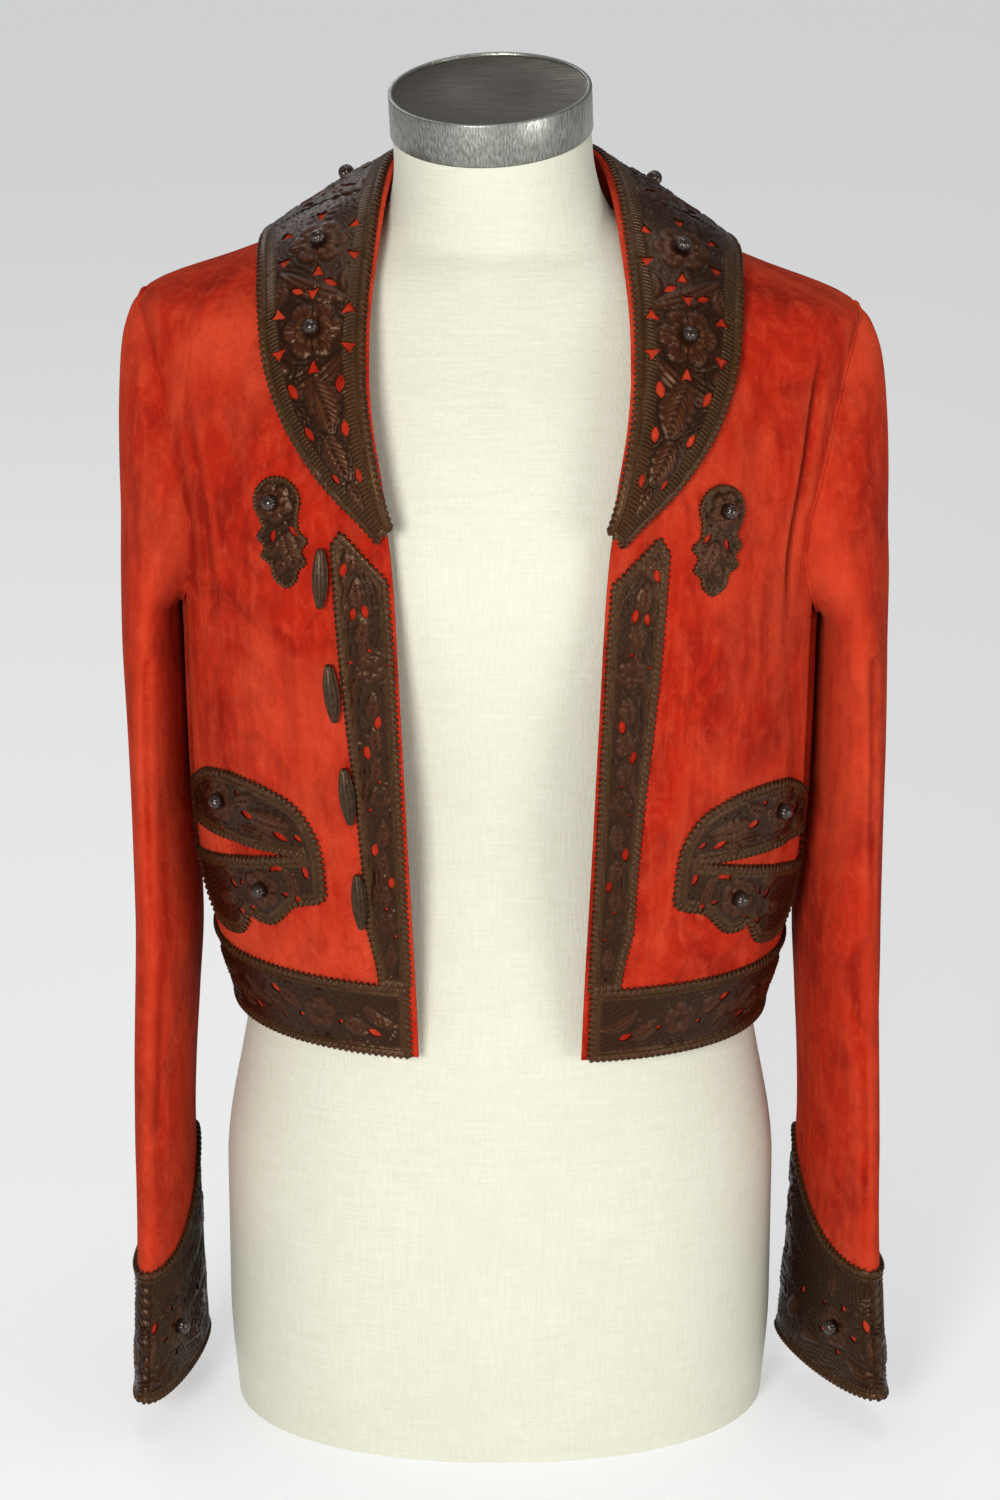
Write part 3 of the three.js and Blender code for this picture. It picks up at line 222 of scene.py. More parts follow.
# The neck leans forward and to one side, in degrees, and carries the cap.
NECK_TILT = 12.0
NECK_ROLL = 2.5
CAP_RADIUS = 56.0
CAP_HEIGHT = 24.0


def lerp(low: float, high: float, share: float) -> float:
    """A value between two others."""
    return low + (high - low) * share


def smooth(value: Array, low: float, high: float) -> Array:
    """A soft step from 0 at low to 1 at high."""
    t = np.clip((value - low) / (high - low), 0.0, 1.0)
    return t * t * (3 - 2 * t)


def unit(vectors: Array) -> Array:
    """Vectors scaled to length one."""
    return vectors / np.maximum(np.linalg.norm(vectors, axis=-1, keepdims=True), 1e-9)


class Curve:
    """A smooth curve through one column of a table, level at its turning points."""

    def __init__(self, places: Sequence[float], values: Sequence[float]) -> None:
        """Keeps the points and works out the slopes.

        Args:
            places: where each value stands, in rising order.
            values: the column's values.
        """
        self.places = np.asarray(places, float)
        self.values = np.asarray(values, float)
        steep = np.diff(self.values) / np.diff(self.places)
        inner = np.where(steep[:-1] * steep[1:] > 0, (steep[:-1] + steep[1:]) / 2, 0.0)
        self.slopes = np.concatenate([steep[:1], inner, steep[-1:]])

    def __call__(self, at: Array) -> Array:
        """The curve's value at each place, held at both ends."""
        at = np.clip(np.asarray(at, float), self.places[0], self.places[-1])
        i = np.clip(np.searchsorted(self.places, at, "right") - 1, 0, len(self.places) - 2)
        width = self.places[i + 1] - self.places[i]
        t = (at - self.places[i]) / width
        rise = t * t * (3 - 2 * t)
        level = self.values[i] * (1 - rise) + self.values[i + 1] * rise
        bend = self.slopes[i] * t * (1 - t) ** 2 - self.slopes[i + 1] * t * t * (1 - t)
        return level + bend * width


def curves(table: dict, key: str) -> dict:
    """One curve for each column of a table but the key's."""
    return {name: Curve(table[key], column) for name, column in table.items() if name != key}


def points(x: Array, y: Array, z: Array) -> Array:
    """Points from their three coordinates."""
    return np.stack(np.broadcast_arrays(x, y, z), axis=-1).astype(float)


def settled(place: Array) -> Array:
    """Points after the jacket has hung lower on the wearer's left."""
    moved = place.copy()
    moved[..., 2] -= SETTLE * moved[..., 0]
    return moved


def sheet_normals(grid: Array, outward: Array, loop: bool = False) -> Array:
    """Normals of the sheet that a grid spans, turned to its outer side.

    Args:
        grid: rows by columns of points.
        outward: a direction at each point, on the outer side.
        loop: whether the columns close on themselves.

    Returns:
        One unit normal for each point.
    """
    if loop:
        across = np.roll(grid, -1, 1) - np.roll(grid, 1, 1)
    else:
        across = np.gradient(grid, axis=1)
    normals = unit(np.cross(across, np.gradient(grid, axis=0)))
    flip = np.sign(np.sum(normals * outward, axis=-1, keepdims=True))
    return normals * np.where(flip == 0, 1, flip)


def away_from_axis(grid: Array) -> Array:
    """The level direction away from the upright axis."""
    return grid * (1, 1, 0)


def away_from_neck(grid: Array) -> Array:
    """The direction away from the neck and upwards."""
    return grid * (1, 1, 0) + (0, 0, 60)


@dataclass(frozen=True)
class Placement:
    """Where a leather shape is seen from: a point on the front and a turn round the body."""

    x: float
    y: float
    turn: float

    def along(self, spots: Array) -> Array:
        """How far points lie along the view."""
        turn = radians(self.turn)
        ahead, aside = np.abs(spots[..., 0]) - self.x, spots[..., 1] - self.y
        return ahead * cos(turn) + aside * sin(turn)


class BodyShape:
    """The outer face of the jacket's body."""

    def __init__(self) -> None:
        """Reads the body's tables."""
        self.ring = curves(BODY, "z")
        self.edge = Curve(FRONT_EDGE["z"], FRONT_EDGE["x"])
        self.armhole = curves(ARMHOLE, "z")

    def point(self, side: Array, angle: Array, z: Array, creased: bool = True) -> Array:
        """Points of the outer face.

        Args:
            side: 1 on the wearer's left and -1 on the right.
            angle: from 0 at the middle front to half a turn at the middle back.
            z: height before the jacket settles.
            creased: whether the finer creases are in.

        Returns:
            The points, in millimetres.
        """
        side, angle, z = np.broadcast_arrays(np.asarray(side, float), angle, z)
        power = 2 / ROUNDNESS
        depth = np.where(np.cos(angle) > 0, self.ring["front"](z), self.ring["back"](z))
        x = self.ring["half"](z) * np.abs(np.sin(angle)) ** power
        y = -np.sign(np.cos(angle)) * depth * np.abs(np.cos(angle)) ** power
        radius = np.hypot(x, y)
        sunk = np.zeros_like(x)
        for fold in BODY_FOLDS + (BODY_CREASES if creased else ()):
            drift = fold.tilt * (z - (fold.low + fold.high) / 2)
            away = radius * (angle - radians(fold.turn)) - drift
            sunk += np.where(side == fold.side, fold.depth(away, z), 0.0)
        shrink = 1 - sunk / radius
        return settled(points(side * x * shrink, y * shrink, z))

    def angle_at_x(self, x: Array, z: Array) -> Array:
        """The turn at which a height's ring reaches a distance from the middle."""
        share = np.minimum(1.0, np.maximum(x, 0.0) / self.ring["half"](z))
        return np.arcsin(share ** (ROUNDNESS / 2))

    def side_angle(self, z: Array, front: bool) -> Array:
        """The side edge of a panel: side seam, armhole and shoulder seam."""
        name = "front" if front else "back"
        share = np.minimum(1.0, self.armhole[name](z) / self.ring[name](z))
        turn = np.arccos(share ** (ROUNDNESS / 2))
        return turn if front else pi - turn

    def front(self, side: int, z: Array, share: Array) -> Array:
        """Points of a front, by height and by share of the way from its edge to its side."""
        start = self.angle_at_x(self.edge(z), z)
        end = self.side_angle(z, True) - SEAM / 2 / self.ring["half"](z)
        return self.point(side, start + (end - start) * share, z)

    def back(self, z: Array, share: Array) -> Array:
        """Points of the back, by height and by share of the way across."""
        swing = pi - self.side_angle(z, False) - SEAM / 2 / self.ring["half"](z)
        turn = (2 * share - 1) * swing
        return self.point(np.where(turn < 0, -1, 1), pi - np.abs(turn), z)

    def seen_from(self, side: int, place: Placement, u: Array, z: Array) -> Array:
        """The front's points by distance along a turned view, and height.

        Args:
            side: 1 on the wearer's left and -1 on the right.
            place: where the view is from.
            u: distances along the view.
            z: heights before the jacket settles.

        Returns:
            The points, in millimetres.
        """
        rows, columns = 40, 200
        angles = np.linspace(0.02, pi / 2 + 0.2, 240)
        height = z + 0 * u
        heights = np.linspace(height.min(), height.max(), rows)
        table = self.point(side, angles[None, :], heights[:, None], creased=False)
        wanted = np.linspace(u.min(), u.max(), columns)
        found = np.stack([np.interp(wanted, np.maximum.accumulate(row), angles)
                          for row in place.along(table)])
        j = (height - heights[0]) / np.ptp(heights) * (rows - 1)
        i = (u - wanted[0]) / np.ptp(wanted) * (columns - 1)
        j, i = np.clip(j, 0, rows - 1.001), np.clip(i, 0, columns - 1.001)
        return self.point(side, bilinear(found[..., None], j, i)[..., 0], height)


def bilinear(grid: Array, j: Array, i: Array) -> Array:
    """Values of a grid between its points, by fractional row and column."""
    rows, columns = grid.shape[:2]
    j0 = np.clip(np.floor(j).astype(int), 0, rows - 2)
    i0 = np.clip(np.floor(i).astype(int), 0, columns - 2)
    v, u = (j - j0)[..., None], (i - i0)[..., None]
    top = grid[j0, i0] * (1 - u) + grid[j0, i0 + 1] * u
    low = grid[j0 + 1, i0] * (1 - u) + grid[j0 + 1, i0 + 1] * u
    return top * (1 - v) + low * v


class SleeveShape:
    """The outer face of one sleeve."""

    def __init__(self, side: int, body: BodyShape) -> None:
        """Reads the sleeve's tables.

        Args:
            side: 1 for the wearer's left.
            body: the body that the armhole is in.
        """
        self.side = side
        self.body = body
        self.ring = curves(SLEEVE, "z")

    def arm(self, around: Array, z: Array, creased: bool = True) -> Array:
        """Points below the underarm, by turn round the sleeve and height."""
        turn = radians(SLEEVE_TURN[self.side]) * self.ring["turn"](z)
        thick = self.ring["thick"](z) * SLEEVE_THICKNESS[self.side]
        sunk = np.zeros(np.broadcast_shapes(np.shape(around), np.shape(z)))
        for fold in SLEEVE_FOLDS[self.side] + (SLEEVE_CREASES[self.side] if creased else ()):
            away = np.degrees(around) - fold.turn - fold.tilt * z / 100
            sunk = sunk + fold.depth(away, z)
        outward = -(thick - sunk) * np.cos(around)
        rearward = -(self.ring["deep"](z) - sunk) * np.sin(around)
        x = self.ring["inner"](z) + thick + outward * np.cos(turn) - rearward * np.sin(turn)
        y = self.ring["y"](z) + outward * np.sin(turn) + rearward * np.cos(turn)
        return points(self.side * x, y, z)

    def armhole(self, around: Array) -> Array:
        """The armhole's edge, by turn from the underarm up the front and down the back."""
        steps = np.asarray(ARMHOLE["z"], float)
        last = len(steps) - 1
        step = around / pi * last
        front = step <= last
        height = Curve(range(last + 1), steps)(np.where(front, step, 2 * last - step))
        ahead = self.body.point(self.side, self.body.side_angle(height, True), height, False)
        behind = self.body.point(self.side, self.body.side_angle(height, False), height, False)
        return np.where(front[..., None], ahead, behind)

    def head(self, around: Array) -> Array:
        """The rings that fan out from the armhole, as rows."""
        edge = self.armhole(around)
        rise = edge[..., 2] + SETTLE * edge[..., 0] - UNDERARM_Z
        lean = np.abs(edge[..., 0]) - UNDERARM_X
        rings = []
        for fan, reach, swell, round_ in zip(*SLEEVE_HEAD.values()):
            level = (1 - np.cos(around)) * reach / 2
            sway = SLEEVE_HEAD_BACK - SLEEVE_HEAD_DEPTH * np.sin(around)
            up = lerp(rise * reach / (SHOULDER_Z - UNDERARM_Z), level, round_)
            out = lean * (1 - round_) ** 2 + SLEEVE_GAP + SLEEVE_SWELL * round_
            tilt = radians(fan)
            x = UNDERARM_X + up * sin(tilt) * SLEEVE_FULLNESS[self.side] + out * cos(tilt)
            z = UNDERARM_Z + up * cos(tilt) - out * sin(tilt)
            y = lerp(edge[..., 1] * swell, sway, round_)
            rings.append(settled(points(self.side * x, y, z)))
        return np.stack(rings)

    def grid(self, columns: int, steps: int, pitch: float) -> Array:
        """The whole sleeve's points, from the armhole down.

        Args:
            columns: points round the sleeve.
            steps: rows between two rings of the head.
            pitch: height between two rows below it.

        Returns:
            Rows by columns of points.
        """
        around = np.arange(columns) * 2 * pi / columns
        knots = [self.arm(around, np.full(columns, z), False) for z in SLEEVE["z"][:-3:-1]]
        rings = np.concatenate([self.head(around), np.stack(knots)])
        rows = [rings[0]]
        for k in range(len(rings) - 2):
            before = rings[max(k - 1, 0)]
            low, high, after = rings[k], rings[k + 1], rings[k + 2]
            gaps = [np.linalg.norm(b - a, axis=-1, keepdims=True) + 1e-6
                    for a, b in ((before, low), (low, high), (high, after))]
            enter = (high - before) / (gaps[0] * (k > 0) + gaps[1]) * gaps[1]
            leave = (after - low) / (gaps[1] + gaps[2]) * gaps[1]
            for t in np.arange(1, steps + 1) / steps:
                rows.append(
                    low * (2 * t**3 - 3 * t**2 + 1) + enter * (t**3 - 2 * t**2 + t)
                    + high * (3 * t**2 - 2 * t**3) + leave * (t**3 - t**2)
                )
        heights = np.append(np.arange(SLEEVE["z"][-1] - pitch, CUFF_Z, -pitch), CUFF_Z)
        arm = self.arm(around[None, :], heights[:, None])
        return np.concatenate([np.stack(rows), arm])

    def outward(self, grid: Array) -> Array:
        """The direction away from each ring's middle."""
        return grid - grid.mean(axis=1, keepdims=True)

    def flat(self, turn: Array, z: Array) -> Array:
        """The sleeve as a surface of degrees round it, and height."""
        return self.arm(np.radians(turn), z)


class CollarShape:
    """The collar's outer face and its stand."""

    def __init__(self, body: BodyShape) -> None:
        """Reads the collar's tables.

        Args:
            body: the body that the collar lies on.
        """
        self.body = body
        self.roll = curves(COLLAR, "at")
        self.neck = curves(NECKLINE, "at")

    def fold(self, side: Array, at: Array) -> Array:
        """The line where the collar turns over."""
        return settled(points(side * self.roll["fold_x"](at), self.roll["fold_y"](at),
                              self.roll["fold_z"](at)))

    def point(self, side: Array, at: Array, across: Array) -> Array:
        """Points of the outer face.

        Args:
            side: 1 on the wearer's left and -1 on the right.
            at: the station round the neck, from 0 at the tip to 11 at the middle back.
            across: the share of the way from the fold to the edge.

        Returns:
            The points, in millimetres.
        """
        z = self.roll["edge_z"](at)
        ahead = self.body.angle_at_x(self.roll["edge_x"](at), z)
        turn = np.where(at < COLLAR_SHOULDER, ahead, pi - ahead)
        foot = self.body.point(side, turn, z, False)
        step = 0.01
        along = (self.body.point(side, np.minimum(turn + step, pi), z, False)
                 - self.body.point(side, turn - step, z, False))
        up = self.body.point(side, turn, z + 1, False) - self.body.point(side, turn, z - 1, False)
        normal = unit(np.cross(along, up))
        normal = normal * np.sign(np.sum(normal * away_from_axis(foot), -1, keepdims=True))
        share = np.asarray(across, float)[..., None]
        bulge = COLLAR_BULGE * 4 * share * (1 - share)
        edge = foot + normal * COLLAR_LIFT
        return self.fold(side, at) * (1 - share) + edge * share + normal * bulge

    def stand(self, side: Array, at: Array, up: Array) -> Array:
        """Points of the stand, from the neckline up to the fold."""
        z = self.neck["z"](at)
        ahead = self.body.angle_at_x(self.body.edge(z), z)
        behind = pi - self.body.angle_at_x(self.neck["edge_x"](at), z)
        foot = self.body.point(side, np.where(at < COLLAR_SHOULDER, ahead, behind), z, False)
        fold = self.fold(side, at)
        rise = unit(fold - foot)
        share = np.asarray(up, float)[..., None]
        return (foot + rise * STAND_FOOT) * (1 - share) + (fold - rise * STAND_TOP) * share


# ---- Meshes ----
@dataclass
class Sheet:
    """A grid of points with two faces, some of its cells left out.

    Its chart holds each point's place on the flat leather, and its fields hold values for the
    finish, by name.
    """

    top: Array
    low: Array
    chart: Array
    fields: dict
    keep: Optional[Array] = None
    loop: bool = False

    def build(self, name: str, material: Material) -> Piece:
        """Makes the closed mesh.

        Args:
            name: the piece's name.
            material: its finish.

        Returns:
            The object, at the origin.
        """
        spots = np.concatenate([self.top.reshape(-1, 3), self.low.reshape(-1, 3)])
        used, quads = np.unique(self._quads(), return_inverse=True)
        spots = spots[used]
        quads = facing_out(spots, quads.reshape(-1, 4))
        piece = mesh_object(name, spots, quads, material)
        for label, values in self.fields.items():
            both = np.tile(values.ravel(), 2)[used]
            layer = piece.data.attributes.new(label, "FLOAT", "POINT")
            layer.data.foreach_set("value", both.astype(np.float32))
        both = np.tile(self.chart.reshape(-1, 2), (2, 1))[used] * MM
        layer = piece.data.uv_layers.new(name="UVMap")
        layer.data.foreach_set("uv", both[quads.ravel()].astype(np.float32).ravel())
        return piece

    def _quads(self) -> Array:
        """The faces of both sides and of every rim, by point."""
        rows, columns = self.top.shape[:2]
        size = rows * columns
        index = np.arange(size).reshape(rows, columns)
        if self.loop:
            index = np.concatenate([index, index[:, :1]], axis=1)
        keep = self.keep if self.keep is not None else np.ones([n - 1 for n in index.shape], bool)
        corners = [index[:-1, :-1], index[:-1, 1:], index[1:, 1:], index[1:, :-1]]
        padded = np.pad(keep, 1)
        if self.loop:
            padded[:, 0], padded[:, -1] = padded[:, -2], padded[:, 1]
        beside = [padded[:-2, 1:-1], padded[1:-1, 2:], padded[2:, 1:-1], padded[1:-1, :-2]]
        faces = [np.stack([c[keep] for c in corners], 1),
                 np.stack([c[keep] for c in corners[::-1]], 1) + size]
        for k, neighbour in enumerate(beside):
            rim = keep & ~neighbour
            a, b = corners[k][rim], corners[(k + 1) % 4][rim]
            faces.append(np.stack([b, a, a + size, b + size], 1))
        return np.concatenate(faces)


def facing_out(spots: Array, faces: Array) -> Array:
    """The faces of a closed mesh, all turned round if they face inwards."""
    a, *others = (spots[faces[:, k]] for k in range(faces.shape[1]))
    volume = sum(np.sum(a * np.cross(b, c)) for b, c in zip(others, others[1:]))
    return faces[:, ::-1] if volume < 0 else faces


def linked(thing: Piece) -> Piece:
    """Puts an object in the scene."""
    bpy.context.scene.collection.objects.link(thing)
    return thing


def mesh_object(
    name: str, spots: Array, quads: Array, material: Material, sharp: float = 40.0
) -> Piece:
    """An object from points in millimetres and its faces.

    Args:
        name: the object's name.
        spots: the points.
        quads: the faces, with the same number of corners each.
        material: the finish.
        sharp: the angle above which an edge stays sharp, in degrees.

    Returns:
        The object, linked to the scene.
    """
    mesh = bpy.data.meshes.new(name)
    count, corners = quads.shape
    mesh.vertices.add(len(spots))
    mesh.vertices.foreach_set("co", (np.asarray(spots) * MM).astype(np.float32).ravel())
    mesh.loops.add(count * corners)
    mesh.loops.foreach_set("vertex_index", quads.astype(np.int32).ravel())
    mesh.polygons.add(count)
    mesh.polygons.foreach_set("loop_start", np.arange(0, count * corners, corners, dtype=np.int32))
    mesh.update(calc_edges=True)
    mesh.materials.append(material)
    mesh.polygons.foreach_set("use_smooth", np.ones(count, bool))
    mesh.set_sharp_from_angle(angle=radians(sharp))
    return linked(bpy.data.objects.new(name, mesh))


def hollows(grid: Array, normals: Array, loop: bool) -> Array:
    """How far each point lies below the cloth beside it, in millimetres.

    Args:
        grid: rows by columns of points.
        normals: one for each point.
        loop: whether the columns close on themselves.

    Returns:
        The depths, below nought on a ridge.
    """
    reach = 12.0
    count = max(1, round(reach / float(strides(grid, 1).mean())))
    wide = np.pad(grid, ((0, 0), (count, count), (0, 0)), mode="wrap" if loop else "edge")
    columns = grid.shape[1]
    mean = sum(wide[:, k : k + columns] for k in range(2 * count + 1)) / (2 * count + 1)
    return np.sum((mean - grid) * normals, axis=-1)


def closed_cord(
    name: str, path: Array, across: Array, radius: float, material: Material
) -> Piece:
    """A round cord along a closed path.

    Args:
        name: the piece's name.
        path: the points of its middle.
        across: a direction that the path never takes.
        radius: half its thickness, in millimetres.
        material: its finish.

    Returns:
        The object.
    """
    sides = 10
    ahead = unit(np.roll(path, -1, axis=0) - np.roll(path, 1, axis=0))
    out = unit(np.cross(ahead, across))
    up = np.cross(ahead, out)
    turn = (np.arange(sides) * 2 * pi / sides)[None, :, None]
    spots = path[:, None] + radius * (np.cos(turn) * out[:, None] + np.sin(turn) * up[:, None])
    index = np.arange(len(path) * sides).reshape(len(path), sides)
    corners = [np.roll(index, shift, (0, 1)) for shift in ((0, 0), (-1, 0), (-1, -1), (0, -1))]
    spots, quads = spots.reshape(-1, 3), np.stack([c.ravel() for c in corners], 1)
    return mesh_object(name, spots, facing_out(spots, quads), material)


def strides(grid: Array, axis: int, **padding: Array) -> Array:
    """The distances from point to point along an axis of a grid."""
    return np.linalg.norm(np.diff(grid, axis=axis, **padding), axis=-1)


def chart_of(grid: Array) -> Array:
    """Distances along the rows and the columns of a grid, for its UV map."""
    across = strides(grid, 1, prepend=grid[:, :1]).cumsum(1)
    along = strides(grid, 0, prepend=grid[:1]).cumsum(0)
    return np.stack([across, along], axis=-1)


def settle_piece(piece: Piece, nodes: Sequence[str] = ()) -> None:
    """Rides a piece on the part and hides the nodes that it stands for."""
    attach(piece, "root")
    if nodes:
        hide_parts(*nodes)
    LOG.info("%s: %d faces", piece.name, len(piece.data.polygons))


def declare_sheet(
    piece: Piece, grid: Array, held: str, under: str, kept: float = 1.0, **together: list
) -> None:
    """Works out the width and length of the rectangle that a sheet is cut from, and does nothing more
    with them.

    Args:
        piece: the finished sheet; not used.
        grid: the points that it was made from.
        held: how it stays up; not used.
        under: what it lies on; not used.
        kept: the share of the grid that the cut keeps; not used.
        together: the pieces that go with it; not used.
    """
    width, length = (float(chart_of(grid)[..., k].max() * MM) for k in (0, 1))


# ---- Finishes ----
def linear(code: str) -> tuple[float, float, float, float]:
    """An sRGB hex colour as linear red, green, blue and alpha."""
    parts = [int(code[i : i + 2], 16) / 255 for i in (1, 3, 5)]
    return (*[c / 12.92 if c <= 0.04045 else ((c + 0.055) / 1.055) ** 2.4 for c in parts], 1.0)


def feed(tree: Tree, node: Node, links: dict, values: dict) -> None:
    """Sets a node's plain values and joins output sockets to its inputs, by name or number."""
    for name, value in values.items():
        node.inputs[name].default_value = value
    for name, socket in links.items():
        tree.links.new(socket, node.inputs[name])


def add(
    tree: Tree, kind: str, links: Optional[dict] = None,
    values: Optional[dict] = None, stops: Sequence = (), **settings: object,
) -> Node:
    """Adds a node.

    Args:
        tree: the node tree.
        kind: the node's type, without its prefix.
        links: output sockets by the name or number of the input that they go to.
        values: plain values by the name or number of the input.
        stops: a colour ramp's places and hex colours.
        settings: the node's own settings.

    Returns:
        The node.
    """
    node = tree.nodes.new("ShaderNode" + kind)
    for name, value in settings.items():
        setattr(node, name, value)
    feed(tree, node, links or {}, values or {})
    if stops:
        ramp = node.color_ramp
        while len(ramp.elements) < len(stops):
            ramp.elements.new(1.0)
        for element, (place, code) in zip(ramp.elements, stops):
            element.position, element.color = place, linear(code)
    return node


def coordinates(tree: Tree) -> Socket:
    """The object's own coordinates, in metres."""
    return add(tree, "TexCoord").outputs["Object"]


def noise(
    tree: Tree, vector: Socket, size: float, detail: float = 3.0,
    stretch: tuple[float, float, float] = (1, 1, 1), twist: float = 0.0,
) -> Socket:
    """A noise with blotches of a size in millimetres, from 0 to 1.

    Args:
        tree: the node tree.
        vector: the coordinates, in metres.
        size: a blotch's size.
        detail: how many finer layers it has.
        stretch: how much longer it is each way.
        twist: how far it is distorted.

    Returns:
        The value's socket.
    """
    scale = tuple(1 / s for s in stretch)
    moved = add(tree, "Mapping", {"Vector": vector}, {"Scale": scale})
    values = {"Scale": 1000 / size, "Detail": detail, "Roughness": 0.6, "Distortion": twist}
    return add(tree, "TexNoise", {"Vector": moved.outputs[0]}, values).outputs[0]


def remap(
    tree: Tree, value: Socket, low: float, high: float,
    new_low: float, new_high: float,
) -> Socket:
    """A value's range moved to another, and held at its ends."""
    values = {1: low, 2: high, 3: new_low, 4: new_high}
    return add(tree, "MapRange", {0: value}, values).outputs[0]


def layered(tree: Tree, colour: object, layers: Iterable[tuple]) -> Socket:
    """Lays colours over a first one.

    Args:
        tree: the node tree.
        colour: the first one, a hex code or a socket.
        layers: for each, a value's socket, its range, the share of the new colour at both its
            ends, and the new colour.

    Returns:
        The last colour's socket.
    """
    for value, low, high, first, last, over in layers:
        share = remap(tree, value, low, high, first, last)
        node = add(tree, "Mix", {0: share}, data_type="RGBA")
        for index, ink in ((6, colour), (7, over)):
            if isinstance(ink, str):
                node.inputs[index].default_value = linear(ink)
            else:
                tree.links.new(ink, node.inputs[index])
        colour = node.outputs[2]
    return colour


def bump(
    tree: Tree, height: Socket, depth: float, under: Optional[Socket] = None,
    strength: float = 1.0,
) -> Socket:
    """A relief laid over another one.

    Args:
        tree: the node tree.
        height: the relief's height, from 0 to 1.
        depth: its depth in millimetres, below nought to turn it over.
        under: the other relief's normal.
        strength: how much of it shows.

    Returns:
        The normal's socket.
    """
    links = {"Height": height} | ({"Normal": under} if under else {})
    values = {"Distance": depth * MM, "Strength": strength}
    return add(tree, "Bump", links, values).outputs[0]


@dataclass(frozen=True)
class Finish:
    """What every finish has."""

    title: str

    def make(self) -> Material:
        """The material, dressed by the finish."""
        material = bpy.data.materials.new(self.title)
        material.use_nodes = True
        tree = material.node_tree
        tree.nodes.clear()
        shader = add(tree, "BsdfPrincipled")
        add(tree, "OutputMaterial", {"Surface": shader.outputs[0]})
        self.dress(tree, shader)
        return material

    def dress(self, tree: Tree, shader: Node) -> None:
        """Sets the shader's sockets; each finish has its own."""


@dataclass(frozen=True)
class Suede(Finish):
    """Dyed calf suede, brushed by hand: matt nap in patches and strokes, painted shade in folds,
    painted highlight on ridges.
    """

    # painted shade: the colour laid into the cloth's hollows, where shade falls in the folds
    shadow: str = "#560d05"
    nap_dark: str = "#801609"
    nap_mid: str = "#a3200d"
    nap_light_and_ridge_highlight: str = "#c24328"
    patch: float = 34.0
    fibre: float = 1.3

    def dress(self, tree: Tree, shader: Node) -> None:
        """Patches of nap, fine fibre and a soft sheen, with painted shade in the hollows and a
        painted highlight on the ridges.
        """
        place = coordinates(tree)
        patches = noise(tree, place, self.patch, 6, (1, 1, 1.4), 1.0)
        clouds = noise(tree, place, 2.6 * self.patch, 3, (0.8, 0.8, 1.4), 0.6)
        mottle = noise(tree, place, 9.0, 6, (0.9, 0.9, 1.3), 0.8)
        strokes = noise(tree, place, 6.5, 3, (1, 1, 7), 0.4)
        fibre = noise(tree, place, self.fibre, 2)
        hollow = add(tree, "Attribute", attribute_name="hollow").outputs["Fac"]
        colour = layered(tree, self.nap_dark, (
            (patches, 0.4, 0.56, 0, 1, self.nap_mid),
            (clouds, 0.42, 0.66, 0, 0.75, self.nap_light_and_ridge_highlight),
            (strokes, 0.52, 0.74, 0, 0.4, self.nap_light_and_ridge_highlight),
            (strokes, 0.3, 0.48, 0.3, 0, self.nap_dark),
            (mottle, 0.5, 0.74, 0, 0.45, self.nap_light_and_ridge_highlight),
            (mottle, 0.3, 0.46, 0.4, 0, self.nap_dark),
            (fibre, 0.3, 0.75, 0.3, 0, self.nap_dark),
            # painted shade in the folds and painted highlight on the ridges, by how far the cloth
            # lies below or above its neighbours
            (hollow, 0.1, 1.4, 0, 0.6, self.shadow),
            (hollow, -0.2, -1.2, 0, 0.35, self.nap_light_and_ridge_highlight)))
        relief = bump(tree, fibre, 0.35, bump(tree, mottle, 0.8))
        feed(tree, shader, {"Base Color": colour, "Normal": relief}, {
            "Roughness": 0.93, "Specular IOR Level": 0.06, "Sheen Weight": 0.12,
            "Sheen Roughness": 0.4, "Sheen Tint": linear("#f06a3c")})


@dataclass(frozen=True)
class CarvedLeather(Finish):
    """Vegetable-tanned leather, carved and stained: dark in its cuts, worn on its ridges."""

    deep: str = "#0b0402"
    ground: str = "#210e06"
    ridge: str = "#3c1d0e"
    worn: str = "#74482e"
    border: str = "#402a12"
    rib: float = 2.3

    def dress(self, tree: Tree, shader: Node) -> None:
        """Colour by the depth of the carving, ribs along the rim and a fine grain."""
        place, chart = coordinates(tree), add(tree, "TexCoord").outputs["UV"]
        carve, ribbed, edging = (add(tree, "Attribute", attribute_name=name).outputs["Fac"]
                                 for name in ("carve", "ribbed", "edging"))
        stain = noise(tree, place, 9.0, 4)
        along = add(tree, "SeparateXYZ", {0: chart}).outputs[0]
        turns = add(tree, "Math", {0: along}, {1: 2 * pi / (self.rib * MM)},
                    operation="MULTIPLY")
        wave = add(tree, "Math", {0: turns.outputs[0]}, operation="SINE").outputs[0]
        ribs = add(tree, "Math", {0: wave, 1: ribbed}, operation="MULTIPLY").outputs[0]
        depth = remap(tree, carve, -0.75, 1.4, 0, 1)
        stops = ((0.0, self.deep), (0.3, self.ground), (0.68, self.ridge), (1.0, self.worn))
        colour = layered(tree, add(tree, "ValToRGB", {0: depth}, stops=stops).outputs[0], (
            (edging, 0, 1, 0, 0.7, self.border),
            (stain, 0.35, 0.7, 0.4, 0, self.ground),
            (ribs, 0, 1, 0, 0.5, self.deep)))
        relief = bump(tree, noise(tree, place, 1.1, 2), 0.22, bump(tree, ribs, -0.4), 0.8)
        rough = remap(tree, stain, 0.3, 0.75, 0.27, 0.4)
        feed(tree, shader, {"Base Color": colour, "Normal": relief, "Roughness": rough},
             {"Specular IOR Level": 0.36, "Specular Tint": linear("#e2b490")})


